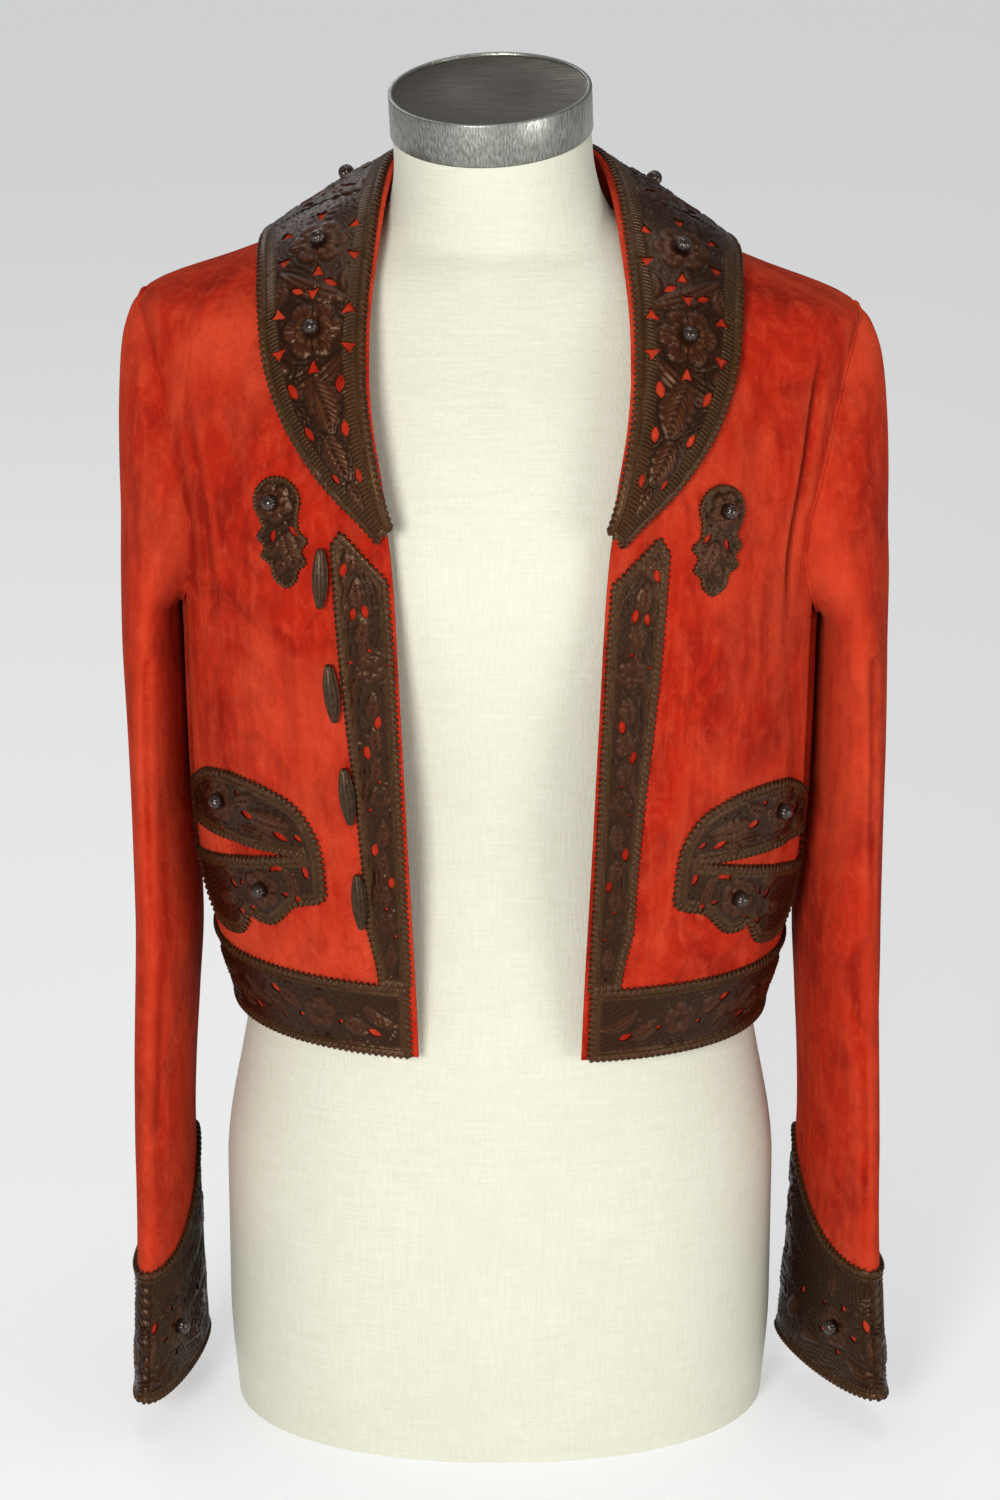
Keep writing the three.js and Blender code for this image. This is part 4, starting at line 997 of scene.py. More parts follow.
@dataclass(frozen=True)
class DarkLeather(Finish):
    """Waxed leather, drawn tight: nearly black, with a soft gloss on each bend."""

    dark: str = "#160a06"
    light: str = "#3c2114"
    rough: float = 0.32
    coat: float = 0.3

    def dress(self, tree: Tree, shader: Node) -> None:
        """Mottled stain, fine grain and a wax coat."""
        place = coordinates(tree)
        stain = noise(tree, place, 2.2, 3)
        colour = layered(tree, self.dark, [(stain, 0.35, 0.7, 0, 1, self.light)])
        rough = remap(tree, stain, 0, 1, self.rough, self.rough + 0.16)
        relief = bump(tree, noise(tree, place, 0.9, 2), 0.12)
        feed(tree, shader, {"Base Color": colour, "Normal": relief, "Roughness": rough}, {
            "Specular IOR Level": 0.4, "Specular Tint": linear("#e6c4a4"),
            "Coat Weight": self.coat, "Coat Roughness": 0.22})


@dataclass(frozen=True)
class Linen(Finish):
    """Plain-woven unbleached linen: threads with slubs, drawn at twice their real width."""

    pale: str = "#cbcbba"
    shade: str = "#bdbaa6"
    thread: float = 1.4

    def dress(self, tree: Tree, shader: Node) -> None:
        """Warp and weft as noises drawn out both ways."""
        place = coordinates(tree)
        weft = noise(tree, place, self.thread, 1, (14, 14, 1))
        warp = noise(tree, place, self.thread, 1, (1, 1, 14))
        cloud = noise(tree, place, 60, 3)
        weave = add(tree, "Math", {0: weft, 1: warp}, operation="ADD").outputs[0]
        colour = layered(tree, self.pale, ((weave, 0.7, 1.3, 0.5, 0, self.shade),
                                           (cloud, 0.3, 0.7, 0.25, 0, self.shade)))
        feed(tree, shader, {"Base Color": colour, "Normal": bump(tree, weave, 0.25)},
             {"Roughness": 0.88, "Sheen Weight": 0.1})


@dataclass(frozen=True)
class BrushedSteel(Finish):
    """Brushed steel: fine scratches, upright or level, that draw the light into streaks."""

    bright: str = "#a8aaa2"
    dull: str = "#70706a"
    spun: bool = False

    def dress(self, tree: Tree, shader: Node) -> None:
        """Scratches in colour, gloss and relief."""
        place = coordinates(tree)
        scratches = noise(tree, place, 0.8, 2, (30, 1, 1) if self.spun else (1, 1, 60))
        colour = layered(tree, self.dull, [(scratches, 0.35, 0.7, 0, 1, self.bright)])
        rough = remap(tree, scratches, 0.3, 0.7, 0.42, 0.24)
        relief = bump(tree, scratches, 0.05)
        feed(tree, shader, {"Base Color": colour, "Normal": relief, "Roughness": rough},
             {"Metallic": 1.0})


@dataclass(frozen=True)
class StudioFloor(Finish):
    """Matt painted floor, pale by the object and a little greyer far off, that glows with painted
    light of its own.
    """

    paint: str = "#bcbdbd"
    near: str = "#b3b4b4"
    far: str = "#b7b8b8"

    def dress(self, tree: Tree, shader: Node) -> None:
        """A wide round gradient of painted glow, a little stronger far off."""
        place = coordinates(tree)
        reach = add(tree, "VectorMath", {0: place}, operation="LENGTH").outputs["Value"]
        # painted light: the floor glows by its own emission, a little more far from the object,
        # though it is no lamp
        glow = layered(tree, self.near, [(reach, 1.2, 3.6, 0, 1, self.far)])
        feed(tree, shader, {"Emission Color": glow}, {
            "Emission Strength": 1.0, "Base Color": linear(self.paint), "Roughness": 0.9,
            "Specular IOR Level": 0.1})


# ---- Carving ----
class Kind(Enum):
    """The carver's shapes."""

    FLOWER = "a ring of veined petals"
    LEAF = "a leaf with a midrib and side veins"
    STEM = "a sweep of lines side by side"
    BOSS = "a small round with rays"
    LENS = "a cut-out with two points"
    WEDGE = "a cut-out with three corners"


OPENINGS = (Kind.LENS, Kind.WEDGE)


@dataclass(frozen=True)
class Motif:
    """One carved shape: its place on the leather's own scale, its turn and its size."""

    kind: Kind
    a: float
    b: float
    turn: float = 0.0
    length: float = 12.0
    width: float = 5.0
    bend: float = 0.0
    petals: int = 5
    out: float = 0.0

    def drawn(self, s: Array, t: Array) -> tuple[Array, Array]:
        """The shape on its own axes.

        Args:
            s: distance along it, in millimetres.
            t: distance across it.

        Returns:
            How far each point lies inside, and how high the carving is there.
        """
        if self.kind in (Kind.FLOWER, Kind.BOSS):
            return self._round(s, t)
        half = self.length / 2
        share = np.clip(s / self.length + 0.5, 0, 1)
        t = t - self.bend * (4 * share * (1 - share))
        # The cut-outs lie flat; a stem's lines run along it; a leaf has scallops, a rib and veins.
        if self.kind is Kind.LENS:
            return 0.62 * self.width * (1 - (s / half) ** 2) - np.abs(t), 0 * s
        if self.kind is Kind.WEDGE:
            side = self.width / 2 * share**1.2 - np.abs(t)
            base = half - s - 0.18 * self.width * (1 - (2 * t / self.width) ** 2)
            return np.minimum(side, base), 0 * s
        if self.kind is Kind.STEM:
            width = self.width / 2 * np.sin(pi * np.clip(share, 0.02, 0.98)) ** 0.45
            inside = np.minimum(width - np.abs(t), half - np.abs(s))
            return inside, 0.45 + 0.5 * np.cos(2 * pi * t / max(self.width / 3, 2.4))
        width = self.width / 2 * np.sin(pi * share**0.8) ** 0.8
        width = width * (1 + 0.09 * np.cos(2 * pi * s / 5.2))
        inside = np.minimum(width - np.abs(t), half - np.abs(s))
        crown = 1 - np.clip(np.abs(t) / np.maximum(width, 0.1), 0, 1) ** 2
        veins = np.cos(2 * pi * (s - 1.1 * np.abs(t)) / 3.4)
        rib = np.exp(-((t / 0.9) ** 2))
        return inside, 0.25 + 0.55 * crown - 0.75 * rib + 0.38 * veins * crown

    def _round(self, s: Array, t: Array) -> tuple[Array, Array]:
        """A flower or a boss."""
        reach, angle = np.hypot(s, t), np.arctan2(t, s)
        radius = self.length / 2
        if self.kind is Kind.BOSS:
            rays = np.cos(angle * 12)
            dome = 0.5 + 0.6 * np.cos(pi * np.clip(reach / radius, 0, 1)) + 0.15 * rays
            return radius - reach, dome
        height, inside = np.full_like(s, -0.5), np.full_like(s, -99.0)
        for size, turn, lift in ((1.0, 0.0, 0.0), (0.62, 0.5, 0.35)):
            lobe = np.cos(self.petals / 2 * angle - turn * pi)
            rim = radius * size * (0.7 + 0.3 * np.abs(lobe) ** 0.55)
            part = rim - reach
            share = np.clip(reach / rim, 0, 1)
            crease = np.exp(-((reach * np.abs(lobe) * 2 / self.petals / 0.95) ** 2))
            veins = np.cos(angle * self.petals * 5) * smooth(reach, 4, 8)
            petal = lift - 0.05 + 0.7 * smooth(share, 0.3, 0.9) - 0.8 * crease + 0.3 * veins
            mask = smooth(part, -0.1, 1.0)
            height = height * (1 - mask) + petal * mask
            inside = np.maximum(inside, part)
        return inside, height


@dataclass
class Carving:
    """A leather sheet's grid with everything that is cut into it.

    Edge and slit hold each point's distance from the outline and from the slit, and locate turns
    a shape's place into a row and a column. The border, its grooves and its ribs are distances
    from the outline. Ground is the cut-down leather's height, and echo the pitch of the lines
    that follow the shapes.
    """

    name: str
    grid: Array
    normals: Array
    edge: Array
    motifs: Sequence[Motif]
    locate: Callable[[float, float], tuple[float, float]]
    border: float = 9.0
    grooves: Sequence[float] = ()
    ribs: tuple[float, float] = (0.0, 0.0)
    along: Optional[Array] = None
    slit: Optional[Array] = None
    ground: float = -0.25
    echo: float = 2.8

    def frame_at(self, motif: Motif) -> tuple[Array, Array, Array, Array]:
        """The place of a shape, and the directions along it, across it and out of the leather."""
        j, i = (np.array([float(v)]) for v in self.locate(motif.a, motif.b))
        origin = bilinear(self.grid, j, i)[0]
        ahead = bilinear(self.grid, j, i + 0.5)[0] - bilinear(self.grid, j, i - 0.5)[0]
        down = bilinear(self.grid, j + 0.5, i)[0] - bilinear(self.grid, j - 0.5, i)[0]
        normal = unit(bilinear(self.normals, j, i)[0])
        along = unit(ahead - normal * (ahead @ normal))
        across = np.cross(normal, along)
        across = across * (1 if across @ down > 0 else -1)
        turn = radians(motif.turn)
        ahead = along * cos(turn) + across * sin(turn)
        return origin, ahead, across * cos(turn) - along * sin(turn), normal

    def carve(self) -> tuple[Array, Array, Array]:
        """Works the whole sheet.

        Returns:
            The height of each point, how far it lies from the nearest rim or opening, and 1 on
            the border.
        """
        height = np.full(self.edge.shape, self.ground)
        solid = self.edge.copy()
        if self.slit is not None:
            solid = np.minimum(solid, self.slit)
        rim = solid.copy()
        nearest = np.full(self.edge.shape, -99.0)
        for motif in self.motifs:
            origin, ahead, across, normal = self.frame_at(motif)
            away = self.grid - origin
            near = np.abs(away @ normal) < 22
            inside, level = motif.drawn(away @ ahead - motif.out, away @ across)
            inside = np.where(near, inside, -99.0)
            if motif.kind in OPENINGS:
                solid = np.minimum(solid, -inside)
                lip = smooth(inside, -2.2, -0.6)
                height = height * (1 - lip) + np.maximum(height, 0.15) * lip
                continue
            shadow = smooth(inside, -1.8, -0.2) * (1 - smooth(inside, -0.2, 1.0))
            mask = smooth(inside, 0.0, 1.0)
            height = (height - 0.35 * shadow * (height > self.ground)) * (1 - mask) + level * mask
            nearest = np.maximum(nearest, inside)
        echo = 0.45 * np.cos(2 * pi * nearest / self.echo) * smooth(-nearest, 0.4, 1.6)
        height += echo * smooth(solid, 0.8, 2.0) * (height < 0.1)
        edging = 1 - smooth(rim, self.border - 1.2, self.border + 0.2)
        level = np.full_like(height, 0.45)
        for groove in self.grooves:
            level -= 0.95 * np.exp(-(((rim - groove) / 0.75) ** 2))
        height = height * (1 - edging) + level * edging
        return height - 0.5 * np.exp(-np.maximum(solid, 0) / 0.7), solid, edging

    def build(self, material: Material) -> Piece:
        """The closed, carved sheet."""
        height, solid, edging = self.carve()
        mean = (solid[:-1, :-1] + solid[1:, :-1] + solid[:-1, 1:] + solid[1:, 1:]) / 4
        keep = mean > 0
        touched = np.zeros(solid.shape, int)
        for dj in (0, 1):
            for di in (0, 1):
                touched[dj : dj + keep.shape[0], di : di + keep.shape[1]] += np.where(keep, 1, 100)
        edge = (touched > 100) & (touched % 100 > 0)
        slope = np.gradient(np.clip(solid, -6, 6))
        pull = np.where(edge, -solid / np.maximum(slope[0] ** 2 + slope[1] ** 2, 0.05), 0)
        j, i = (axis + np.clip(pull * way, -0.7, 0.7)
                for axis, way in zip(np.indices(solid.shape), slope))
        grid, normals = bilinear(self.grid, j, i), unit(bilinear(self.normals, j, i))
        height = bilinear(height[..., None], j, i)[..., 0]
        low, top = (grid + normals * lift for lift in (SEAM, SEAM + LEATHER + height[..., None]))
        along = self.along if self.along is not None else chart_of(self.grid)[..., 0]
        first, last = (smooth(self.edge, rib - 0.5, rib + 0.5) for rib in self.ribs)
        ribbed = first * (1 - last) if self.ribs[1] > 0 else 0 * first
        fields = {"carve": height, "ribbed": ribbed, "edging": edging}
        chart = np.stack([along, self.edge], axis=-1)
        return Sheet(top, low, chart, fields, keep).build(self.name, material)


def insets(grid: Array, first: bool) -> Array:
    """How far points lie from a grid's first and last rows, and its first column if wanted."""
    columns, rows = np.moveaxis(chart_of(grid), -1, 0)
    return np.min([rows, rows[-1:] - rows] + [columns] * first, axis=0)


def straight_rims(grid: Array, first: bool) -> list[Array]:
    """The rows and columns of a grid's first and last rows, and its first column if wanted."""
    rows, columns = grid.shape[:2]
    i, j = np.arange(columns, dtype=float), np.arange(rows, dtype=float)
    rims = [np.stack([0 * i, i], 1), np.stack([0 * i + rows - 1, i], 1)]
    return rims + [np.stack([j, 0 * j], 1)] * first


def outline_of(corners: Sequence, steps: int = 6) -> Array:
    """A smooth closed line through corners."""
    p = np.asarray(corners, float)
    before, after, later = np.roll(p, 1, 0), np.roll(p, -1, 0), np.roll(p, -2, 0)
    slope, bend = after - before, 2 * before - 5 * p + 4 * after - later
    twist = 3 * p - before - 3 * after + later
    rows = [0.5 * (2 * p + slope * t + bend * t**2 + twist * t**3)
            for t in np.arange(steps) / steps]
    return np.stack(rows, 1).reshape(-1, 2)


def from_outline(line: Array, x: Array, y: Array) -> tuple[Array, Array]:
    """How far points lie inside a closed line, and how far along it their nearest point is.

    Args:
        line: the line's points.
        x: the points' first coordinate.
        y: their second.

    Returns:
        The signed distance, more inside, and the distance along.
    """
    best, where = np.full(x.shape, 1e9), np.zeros(x.shape)
    inside, walked = np.zeros(x.shape, bool), 0.0
    for a, b in zip(line, np.roll(line, -1, 0)):
        step = b - a
        length = float(np.hypot(*step))
        t = np.clip(((x - a[0]) * step[0] + (y - a[1]) * step[1]) / max(length**2, 1e-9), 0, 1)
        gap = np.hypot(x - a[0] - t * step[0], y - a[1] - t * step[1])
        nearer = gap < best
        best = np.where(nearer, gap, best)
        where = np.where(nearer, walked + t * length, where)
        crosses = ((a[1] > y) != (b[1] > y)) & (
            x < step[0] * (y - a[1]) / (step[1] if step[1] else 1e-9) + a[0])
        inside ^= crosses
        walked += length
    return np.where(inside, best, -best), where


# ---- Lacing ----
@dataclass
class Lacing:
    """Whip stitches of a flat thong over a leather's rim.

    Each stitch runs from the leather over the rim and down to the cloth. Inner and outer are how
    far it reaches on both sides of the rim.
    """

    pitch: float = 3.6
    thickness: float = 0.86
    inner: float = 3.0
    outer: float = 0.9
    slant: float = 1.5

    def stitches(self, carving: Carving, line: Array) -> tuple[Array, Array]:
        """The stitches along one rim.

        Args:
            carving: the laced leather.
            line: the rim, in the grid's rows and columns.

        Returns:
            The points and the faces, each a quad.
        """
        spots = bilinear(carving.grid, line[:, 0], line[:, 1])
        walked = np.concatenate([[0], strides(spots, 0).cumsum()])
        at = np.arange(self.pitch / 2, walked[-1] - 0.2, self.pitch)
        line = np.stack([np.interp(at, walked, line[:, k]) for k in (0, 1)], 1)
        spots = bilinear(carving.grid, line[:, 0], line[:, 1])
        normals = unit(bilinear(carving.normals, line[:, 0], line[:, 1]))
        rim = carving.edge if carving.slit is None else np.minimum(carving.edge, carving.slit)
        slope = np.stack(np.gradient(rim), axis=-1)
        way = unit(bilinear(slope, line[:, 0], line[:, 1]))
        ahead = bilinear(carving.grid, line[:, 0] + way[:, 0], line[:, 1] + way[:, 1]) - spots
        behind = bilinear(carving.grid, line[:, 0] - way[:, 0], line[:, 1] - way[:, 1]) - spots
        moved = np.where(np.linalg.norm(ahead, axis=-1, keepdims=True) > 0.05, ahead, -behind)
        inward = unit(moved - normals * np.sum(moved * normals, -1, keepdims=True))
        along = np.cross(normals, inward)
        top = SEAM + LEATHER
        # How far in from the rim, how high and how far along the slant each ring of a stitch is.
        course = ((self.inner, top - 0.35, -1.0), (self.inner * 0.55, top + 0.55, -0.5),
                  (0.2, top + 0.5, 0.1), (-self.outer, top * 0.55, 0.6), (-self.outer, SEAM, 1.0))
        sides, last = 5, len(course) - 1
        rings = []
        for k, (into, up, lean) in enumerate(course):
            middle = spots + inward * into + normals * up + along * lean * self.slant / 2
            after, before = course[min(k + 1, last)], course[max(k - 1, 0)]
            run = unit(inward * (after[0] - before[0]) + normals * (after[1] - before[1]))
            out = unit(np.cross(along, run))
            for turn in np.arange(sides) * 2 * pi / sides:
                rings.append(middle + out * cos(turn) * self.thickness * 0.7
                             + along * sin(turn) * self.thickness * 1.25)
        pattern = [(r * sides + k, r * sides + (k + 1) % sides,
                    (r + 1) * sides + (k + 1) % sides, (r + 1) * sides + k)
                   for r in range(last) for k in range(sides)]
        # Each end is a five-cornered face: a quad, and a triangle written as one.
        pattern += [(0, 4, 3, 0), (0, 3, 2, 1), (20, 21, 22, 20), (20, 22, 23, 24)]
        quads = np.array(pattern)[None] + (np.arange(len(at)) * len(rings))[:, None, None]
        return np.stack(rings, 1).reshape(-1, 3), quads.reshape(-1, 4)

    def build(
        self, name: str, rims: Sequence[tuple[Carving, Array]], material: Material
    ) -> Piece:
        """All the stitches of one leather as one piece."""
        spots, tris, start = [], [], 0
        for carving, line in rims:
            corners, quads = self.stitches(carving, line)
            both = np.concatenate([quads[:, [0, 1, 2]], quads[:, [0, 2, 3]]]) + start
            spots.append(corners)
            tris.append(both[(both != np.roll(both, 1, axis=1)).all(axis=1)])
            start += len(corners)
        spots, tris = np.concatenate(spots), np.concatenate(tris)
        return mesh_object(name, spots, facing_out(spots, tris), material, 80)


# ---- The jacket's parts ----
class Finishes:
    """One material for each finish."""

    def __init__(self) -> None:
        """Makes them all."""
        self.suede = Suede("brushed_calf_suede").make()
        self.carved = CarvedLeather("carved_vegetable_tanned_leather").make()
        self.thong, self.rolled, self.knob = (DarkLeather(*row).make() for row in (
            ("waxed_leather_thong", "#1e0f07", "#4c2d1a", 0.34, 0.0),
            ("rolled_leather", "#150c07", "#3d2a1c", 0.28, 0.0),
            ("gathered_waxed_leather", "#0c0706", "#261a14", 0.16, 0.7)))
        self.linen = Linen("unbleached_linen").make()
        self.steel = BrushedSteel("brushed_steel").make()
        # painted reflection: the cap's top takes a darker, browner copy of the steel, standing for a
        # dark room mirrored in it
        self.top_steel_painted_reflection = BrushedSteel("spun_steel_painted_reflection", "#5b5347", "#3b352c", True).make()
        self.floor = StudioFloor("matt_studio_paint_and_painted_glow").make()


@dataclass
class SuedePanels:
    """The fronts, the back, the sleeves, the undercollar and the stand."""

    body: BodyShape
    collar: CollarShape
    sleeves: dict[int, SleeveShape]
    suede: Material
    pitch: float = 3.2
    columns: int = 60
    round_columns: int = 108

    def heights(self) -> Array:
        """The rows' heights, closer at the underarm."""
        closer = [UNDERARM_Z + step for step in (0, 1, 2.5, 4.5)] + [SHOULDER_Z, NECK_Z]
        return np.unique(np.append(np.arange(HEM_Z, NECK_Z, self.pitch), closer))[:, None]

    def build(self) -> None:
        """Makes every panel and works out the size of its cut."""
        share = np.linspace(0, 1, self.columns)[None, :]
        for name, side in SIDES.items():
            grid = self.body.front(side, self.heights(), share)
            self._panel(f"front_{name}", grid, away_from_axis(grid))
        grid = self.body.back(self.heights(), np.linspace(0, 1, 2 * self.columns)[None, :])
        self._panel("back", grid, away_from_axis(grid))
        for name, side in SIDES.items():
            sleeve = self.sleeves[side]
            grid = sleeve.grid(self.round_columns, 4, self.pitch)
            self._panel(f"sleeve_{name}", grid, sleeve.outward(grid), loop=True)
            path = sleeve.armhole(np.arange(160) * 2 * pi / 160) + (side * WELT_OUT, 0, 0)
            across = np.array([1.0, 0, 0])
            welt = closed_cord(f"armhole_welt_{name}", path, across, WELT, self.suede)
            settle_piece(welt)
        side, at = round_neck(np.linspace(0, COLLAR_END, 90))
        grid = self.collar.point(side, at, np.linspace(0, 1, 22)[:, None])
        self._panel("undercollar", grid, away_from_neck(grid))
        side, at = round_neck(np.linspace(STAND_START, COLLAR_END, 80))
        grid = self.collar.stand(side, at, np.linspace(0, 1, 14)[:, None])
        self._panel("collar_stand", grid, away_from_neck(grid * (-1, -1, 1)), outer=SUEDE)

    def _panel(
        self, name: str, grid: Array, outward: Array, outer: float = 0.0, loop: bool = False
    ) -> None:
        """Makes one panel in the place of its node.

        Args:
            name: the node's name.
            grid: the points that both faces are set off from.
            outward: a direction at each point, on the outer side.
            outer: how far the outer face is set off.
            loop: whether the columns close on themselves.
        """
        normals = sheet_normals(grid, outward, loop)
        top, low = grid + normals * outer, grid + normals * (outer - SUEDE)
        # hollow: how far the cloth lies below its neighbours, which the suede's painted shade and
        # painted highlight follow
        fields = {"hollow": hollows(grid, normals, loop)}
        sheet = Sheet(top, low, chart_of(grid), fields, loop=loop)
        piece = sheet.build(f"suede_{name}", self.suede)
        settle_piece(piece, [name])
        whole = np.concatenate([grid, grid[:, :1]], 1) if loop else grid
        declare_sheet(piece, whole, "draped", "form_body")


def round_neck(stations: Array) -> tuple[Array, Array]:
    """Sides and stations from the wearer's right tip round the neck to the left one."""
    side = np.concatenate([-np.ones(len(stations) - 1), np.ones(len(stations))])
    return side[None, :], np.concatenate([stations[:-1], stations[::-1]])[None, :]


def rosette(
    a: float, b: float, size: float, petals: int = 5, turn: float = 0.0, gap: float = 8.0,
    gaps: Sequence[int] = range(5), ring: float = 0.56,
) -> list[Motif]:
    """A flower and the cut-outs between its petals.

    Args:
        a: its place on the leather's first scale.
        b: its place on the second.
        size: its width.
        petals: how many it has.
        turn: degrees from the first scale's direction.
        gap: the cut-outs' length.
        gaps: which of them are there.
        ring: how far out they lie, as a share of the size.

    Returns:
        The shapes.
    """
    step = 360 / petals
    cuts = [Motif(Kind.WEDGE, a, b, turn + k * step, gap, gap * 0.85, out=size * ring)
            for k in gaps]
    return [Motif(Kind.FLOWER, a, b, turn + step / 2, size, petals=petals), *cuts]


def shapes(kind: Kind, *rows: Sequence[float]) -> list[Motif]:
    """Shapes of one kind, each from its place, turn, length, width and bend."""
    return [Motif(kind, *row) for row in rows]


def swung(motifs: Iterable[Motif], pivot: tuple[float, float], degrees: float) -> list[Motif]:
    """Shapes turned together round a point of the leather."""
    c, s = cos(radians(degrees)), sin(radians(degrees))
    return [replace(m, a=pivot[0] + c * (m.a - pivot[0]) - s * (m.b - pivot[1]),
                    b=pivot[1] + s * (m.a - pivot[0]) + c * (m.b - pivot[1]),
                    turn=m.turn + degrees) for m in motifs]


@dataclass
class Patch:
    """A rectangle of a front's surface, seen from a turn round the body."""

    body: BodyShape
    side: int
    place: Placement
    across: tuple[float, float]
    up: tuple[float, float]
    pitch: float = 1.1

    def __post_init__(self) -> None:
        """Lays the grid."""
        self.x = np.arange(self.across[0], self.across[1] + self.pitch, self.pitch)
        self.z = np.arange(self.up[0], self.up[1] + self.pitch, self.pitch)
        self.grid = self.body.seen_from(self.side, self.place, self.x[None, :], self.z[:, None])
        self.normals = sheet_normals(self.grid, away_from_axis(self.grid))

    def index(self, line: Array) -> Array:
        """Points of the view as rows and columns of the grid."""
        line = np.asarray(line, float)
        start = np.array([self.x[0], self.z[0]])
        return ((line - start) / self.pitch)[:, ::-1]

    def locate(self, x: float, z: float) -> tuple[float, float]:
        """The row and column of a place on the body, by distance from the middle and height."""
        angle = self.body.angle_at_x(np.array(x), np.array(z))
        along = self.place.along(self.body.point(self.side, angle, np.array(z)))
        return (z - self.z[0]) / self.pitch, (along - self.x[0]) / self.pitch

    def carving(
        self, name: str, line: Array, motifs: Sequence[Motif], **options: object
    ) -> Carving:
        """The leather inside a closed line of the view."""
        x, z = np.meshgrid(self.x, self.z)
        edge, along = from_outline(line, x, z)
        return Carving(name, self.grid, self.normals, edge, motifs, self.locate, along=along,
                       **options)


@dataclass
class Knobs:
    """Balls of gathered leather, one in the heart of each large flower."""

    finish: Material
    radius: float = 4.6
    pleats: int = 9
    model: Optional[Piece] = None

    def start(self) -> Piece:
        """Shapes the ball that the others are copied from."""
        bpy.ops.object.select_all(action="DESELECT")
        bpy.ops.mesh.primitive_uv_sphere_add(
            segments=4 * self.pleats, ring_count=14, radius=self.radius * MM)
        ball = bpy.context.object
        ball.name = "knob_model"
        edit(ball, lambda v: pleat_of(v.co, self.pleats) < 0.2 and v.co.z < 0.8 * self.radius * MM)
        bpy.ops.transform.resize(value=(0.9, 0.9, 0.97), center_override=(0, 0, 0))
        bpy.ops.mesh.select_all(action="SELECT")
        bpy.ops.mesh.bisect(plane_co=(0, 0, -0.45 * self.radius * MM), plane_no=(0, 0, 1),
                            clear_inner=True, use_fill=True)
        bpy.ops.mesh.select_all(action="DESELECT")
        mode("OBJECT")
        foot = min(v.co.z for v in ball.data.vertices)
        for polygon in ball.data.polygons:
            polygon.select = polygon.center.z < foot + 1e-6 and polygon.normal.z < -0.9
        mode("EDIT")
        bpy.ops.mesh.select_mode(type="FACE")
        extrude(-0.3, 1.45)
        extrude(-0.7)
        mode("OBJECT")
        bpy.ops.object.shade_smooth_by_angle(angle=radians(50))
        ball.data.materials.append(self.finish)
        self.model = ball
        return ball

    def place(self, name: str, carving: Carving, motif: Motif, node: str) -> None:
        """Sets a ball on a leather.

        Args:
            name: the piece's name.
            carving: the leather.
            motif: the flower that it sits in.
            node: the node that it stands for.
        """
        origin, ahead, across, normal = carving.frame_at(motif)
        lift = SEAM + LEATHER + 0.45 * self.radius + 0.4
        piece = copy_to(self.model, name, ahead, across, normal, origin + normal * lift)
        settle_piece(piece, [node])


def pleat_of(place: Vector, count: int) -> float:
    """How far a point's turn is from the nearest pleat, from 0 to 0.5."""
    turn = atan2(place.y, place.x) / (2 * pi) * count % 1
    return min(turn, 1 - turn)


def mode(name: str) -> None:
    """Goes into edit mode or object mode."""
    bpy.ops.object.mode_set(mode=name)


def extrude(up: float, wide: float = 1.0) -> None:
    """Extrudes what is selected along Z, in millimetres, and widens it round the axis."""
    bpy.ops.mesh.extrude_region_move(TRANSFORM_OT_translate={"value": (0, 0, up * MM)})
    if wide != 1.0:
        bpy.ops.transform.resize(value=(wide, wide, 1), center_override=(0, 0, 0))


def only(piece: Piece) -> None:
    """Selects one object and makes it the active one."""
    bpy.ops.object.select_all(action="DESELECT")
    piece.select_set(True)
    bpy.context.view_layer.objects.active = piece


def edit(piece: Piece, wanted: Callable[[bpy.types.MeshVertex], bool]) -> None:
    """Goes into edit mode with only the wanted vertices selected."""
    if bpy.context.mode != "OBJECT":
        mode("OBJECT")
    only(piece)
    mode("EDIT")
    bpy.ops.mesh.select_mode(type="VERT")
    bpy.ops.mesh.select_all(action="DESELECT")
    mode("OBJECT")
    for vertex in piece.data.vertices:
        vertex.select = wanted(vertex)
    mode("EDIT")


def copy_to(
    model: Piece, name: str, first: Array, second: Array, third: Array, origin: Array
) -> Piece:
    """A copy of a model with its own mesh.

    Args:
        model: the model, at the origin.
        name: the copy's name.
        first: where the model's X goes.
        second: where its Y goes, turned round if the three would mirror it.
        third: where its Z goes.
        origin: where its origin goes, in millimetres.

    Returns:
        The copy, at the origin untransformed.
    """
    if np.cross(first, second) @ third < 0:
        second = -np.asarray(second)
    mesh = model.data.copy()
    mesh.name = name
    place = Matrix(np.column_stack([first, second, third]).tolist()).to_4x4()
    place.translation = Vector(np.asarray(origin) * MM)
    mesh.transform(place)
    return linked(bpy.data.objects.new(name, mesh))


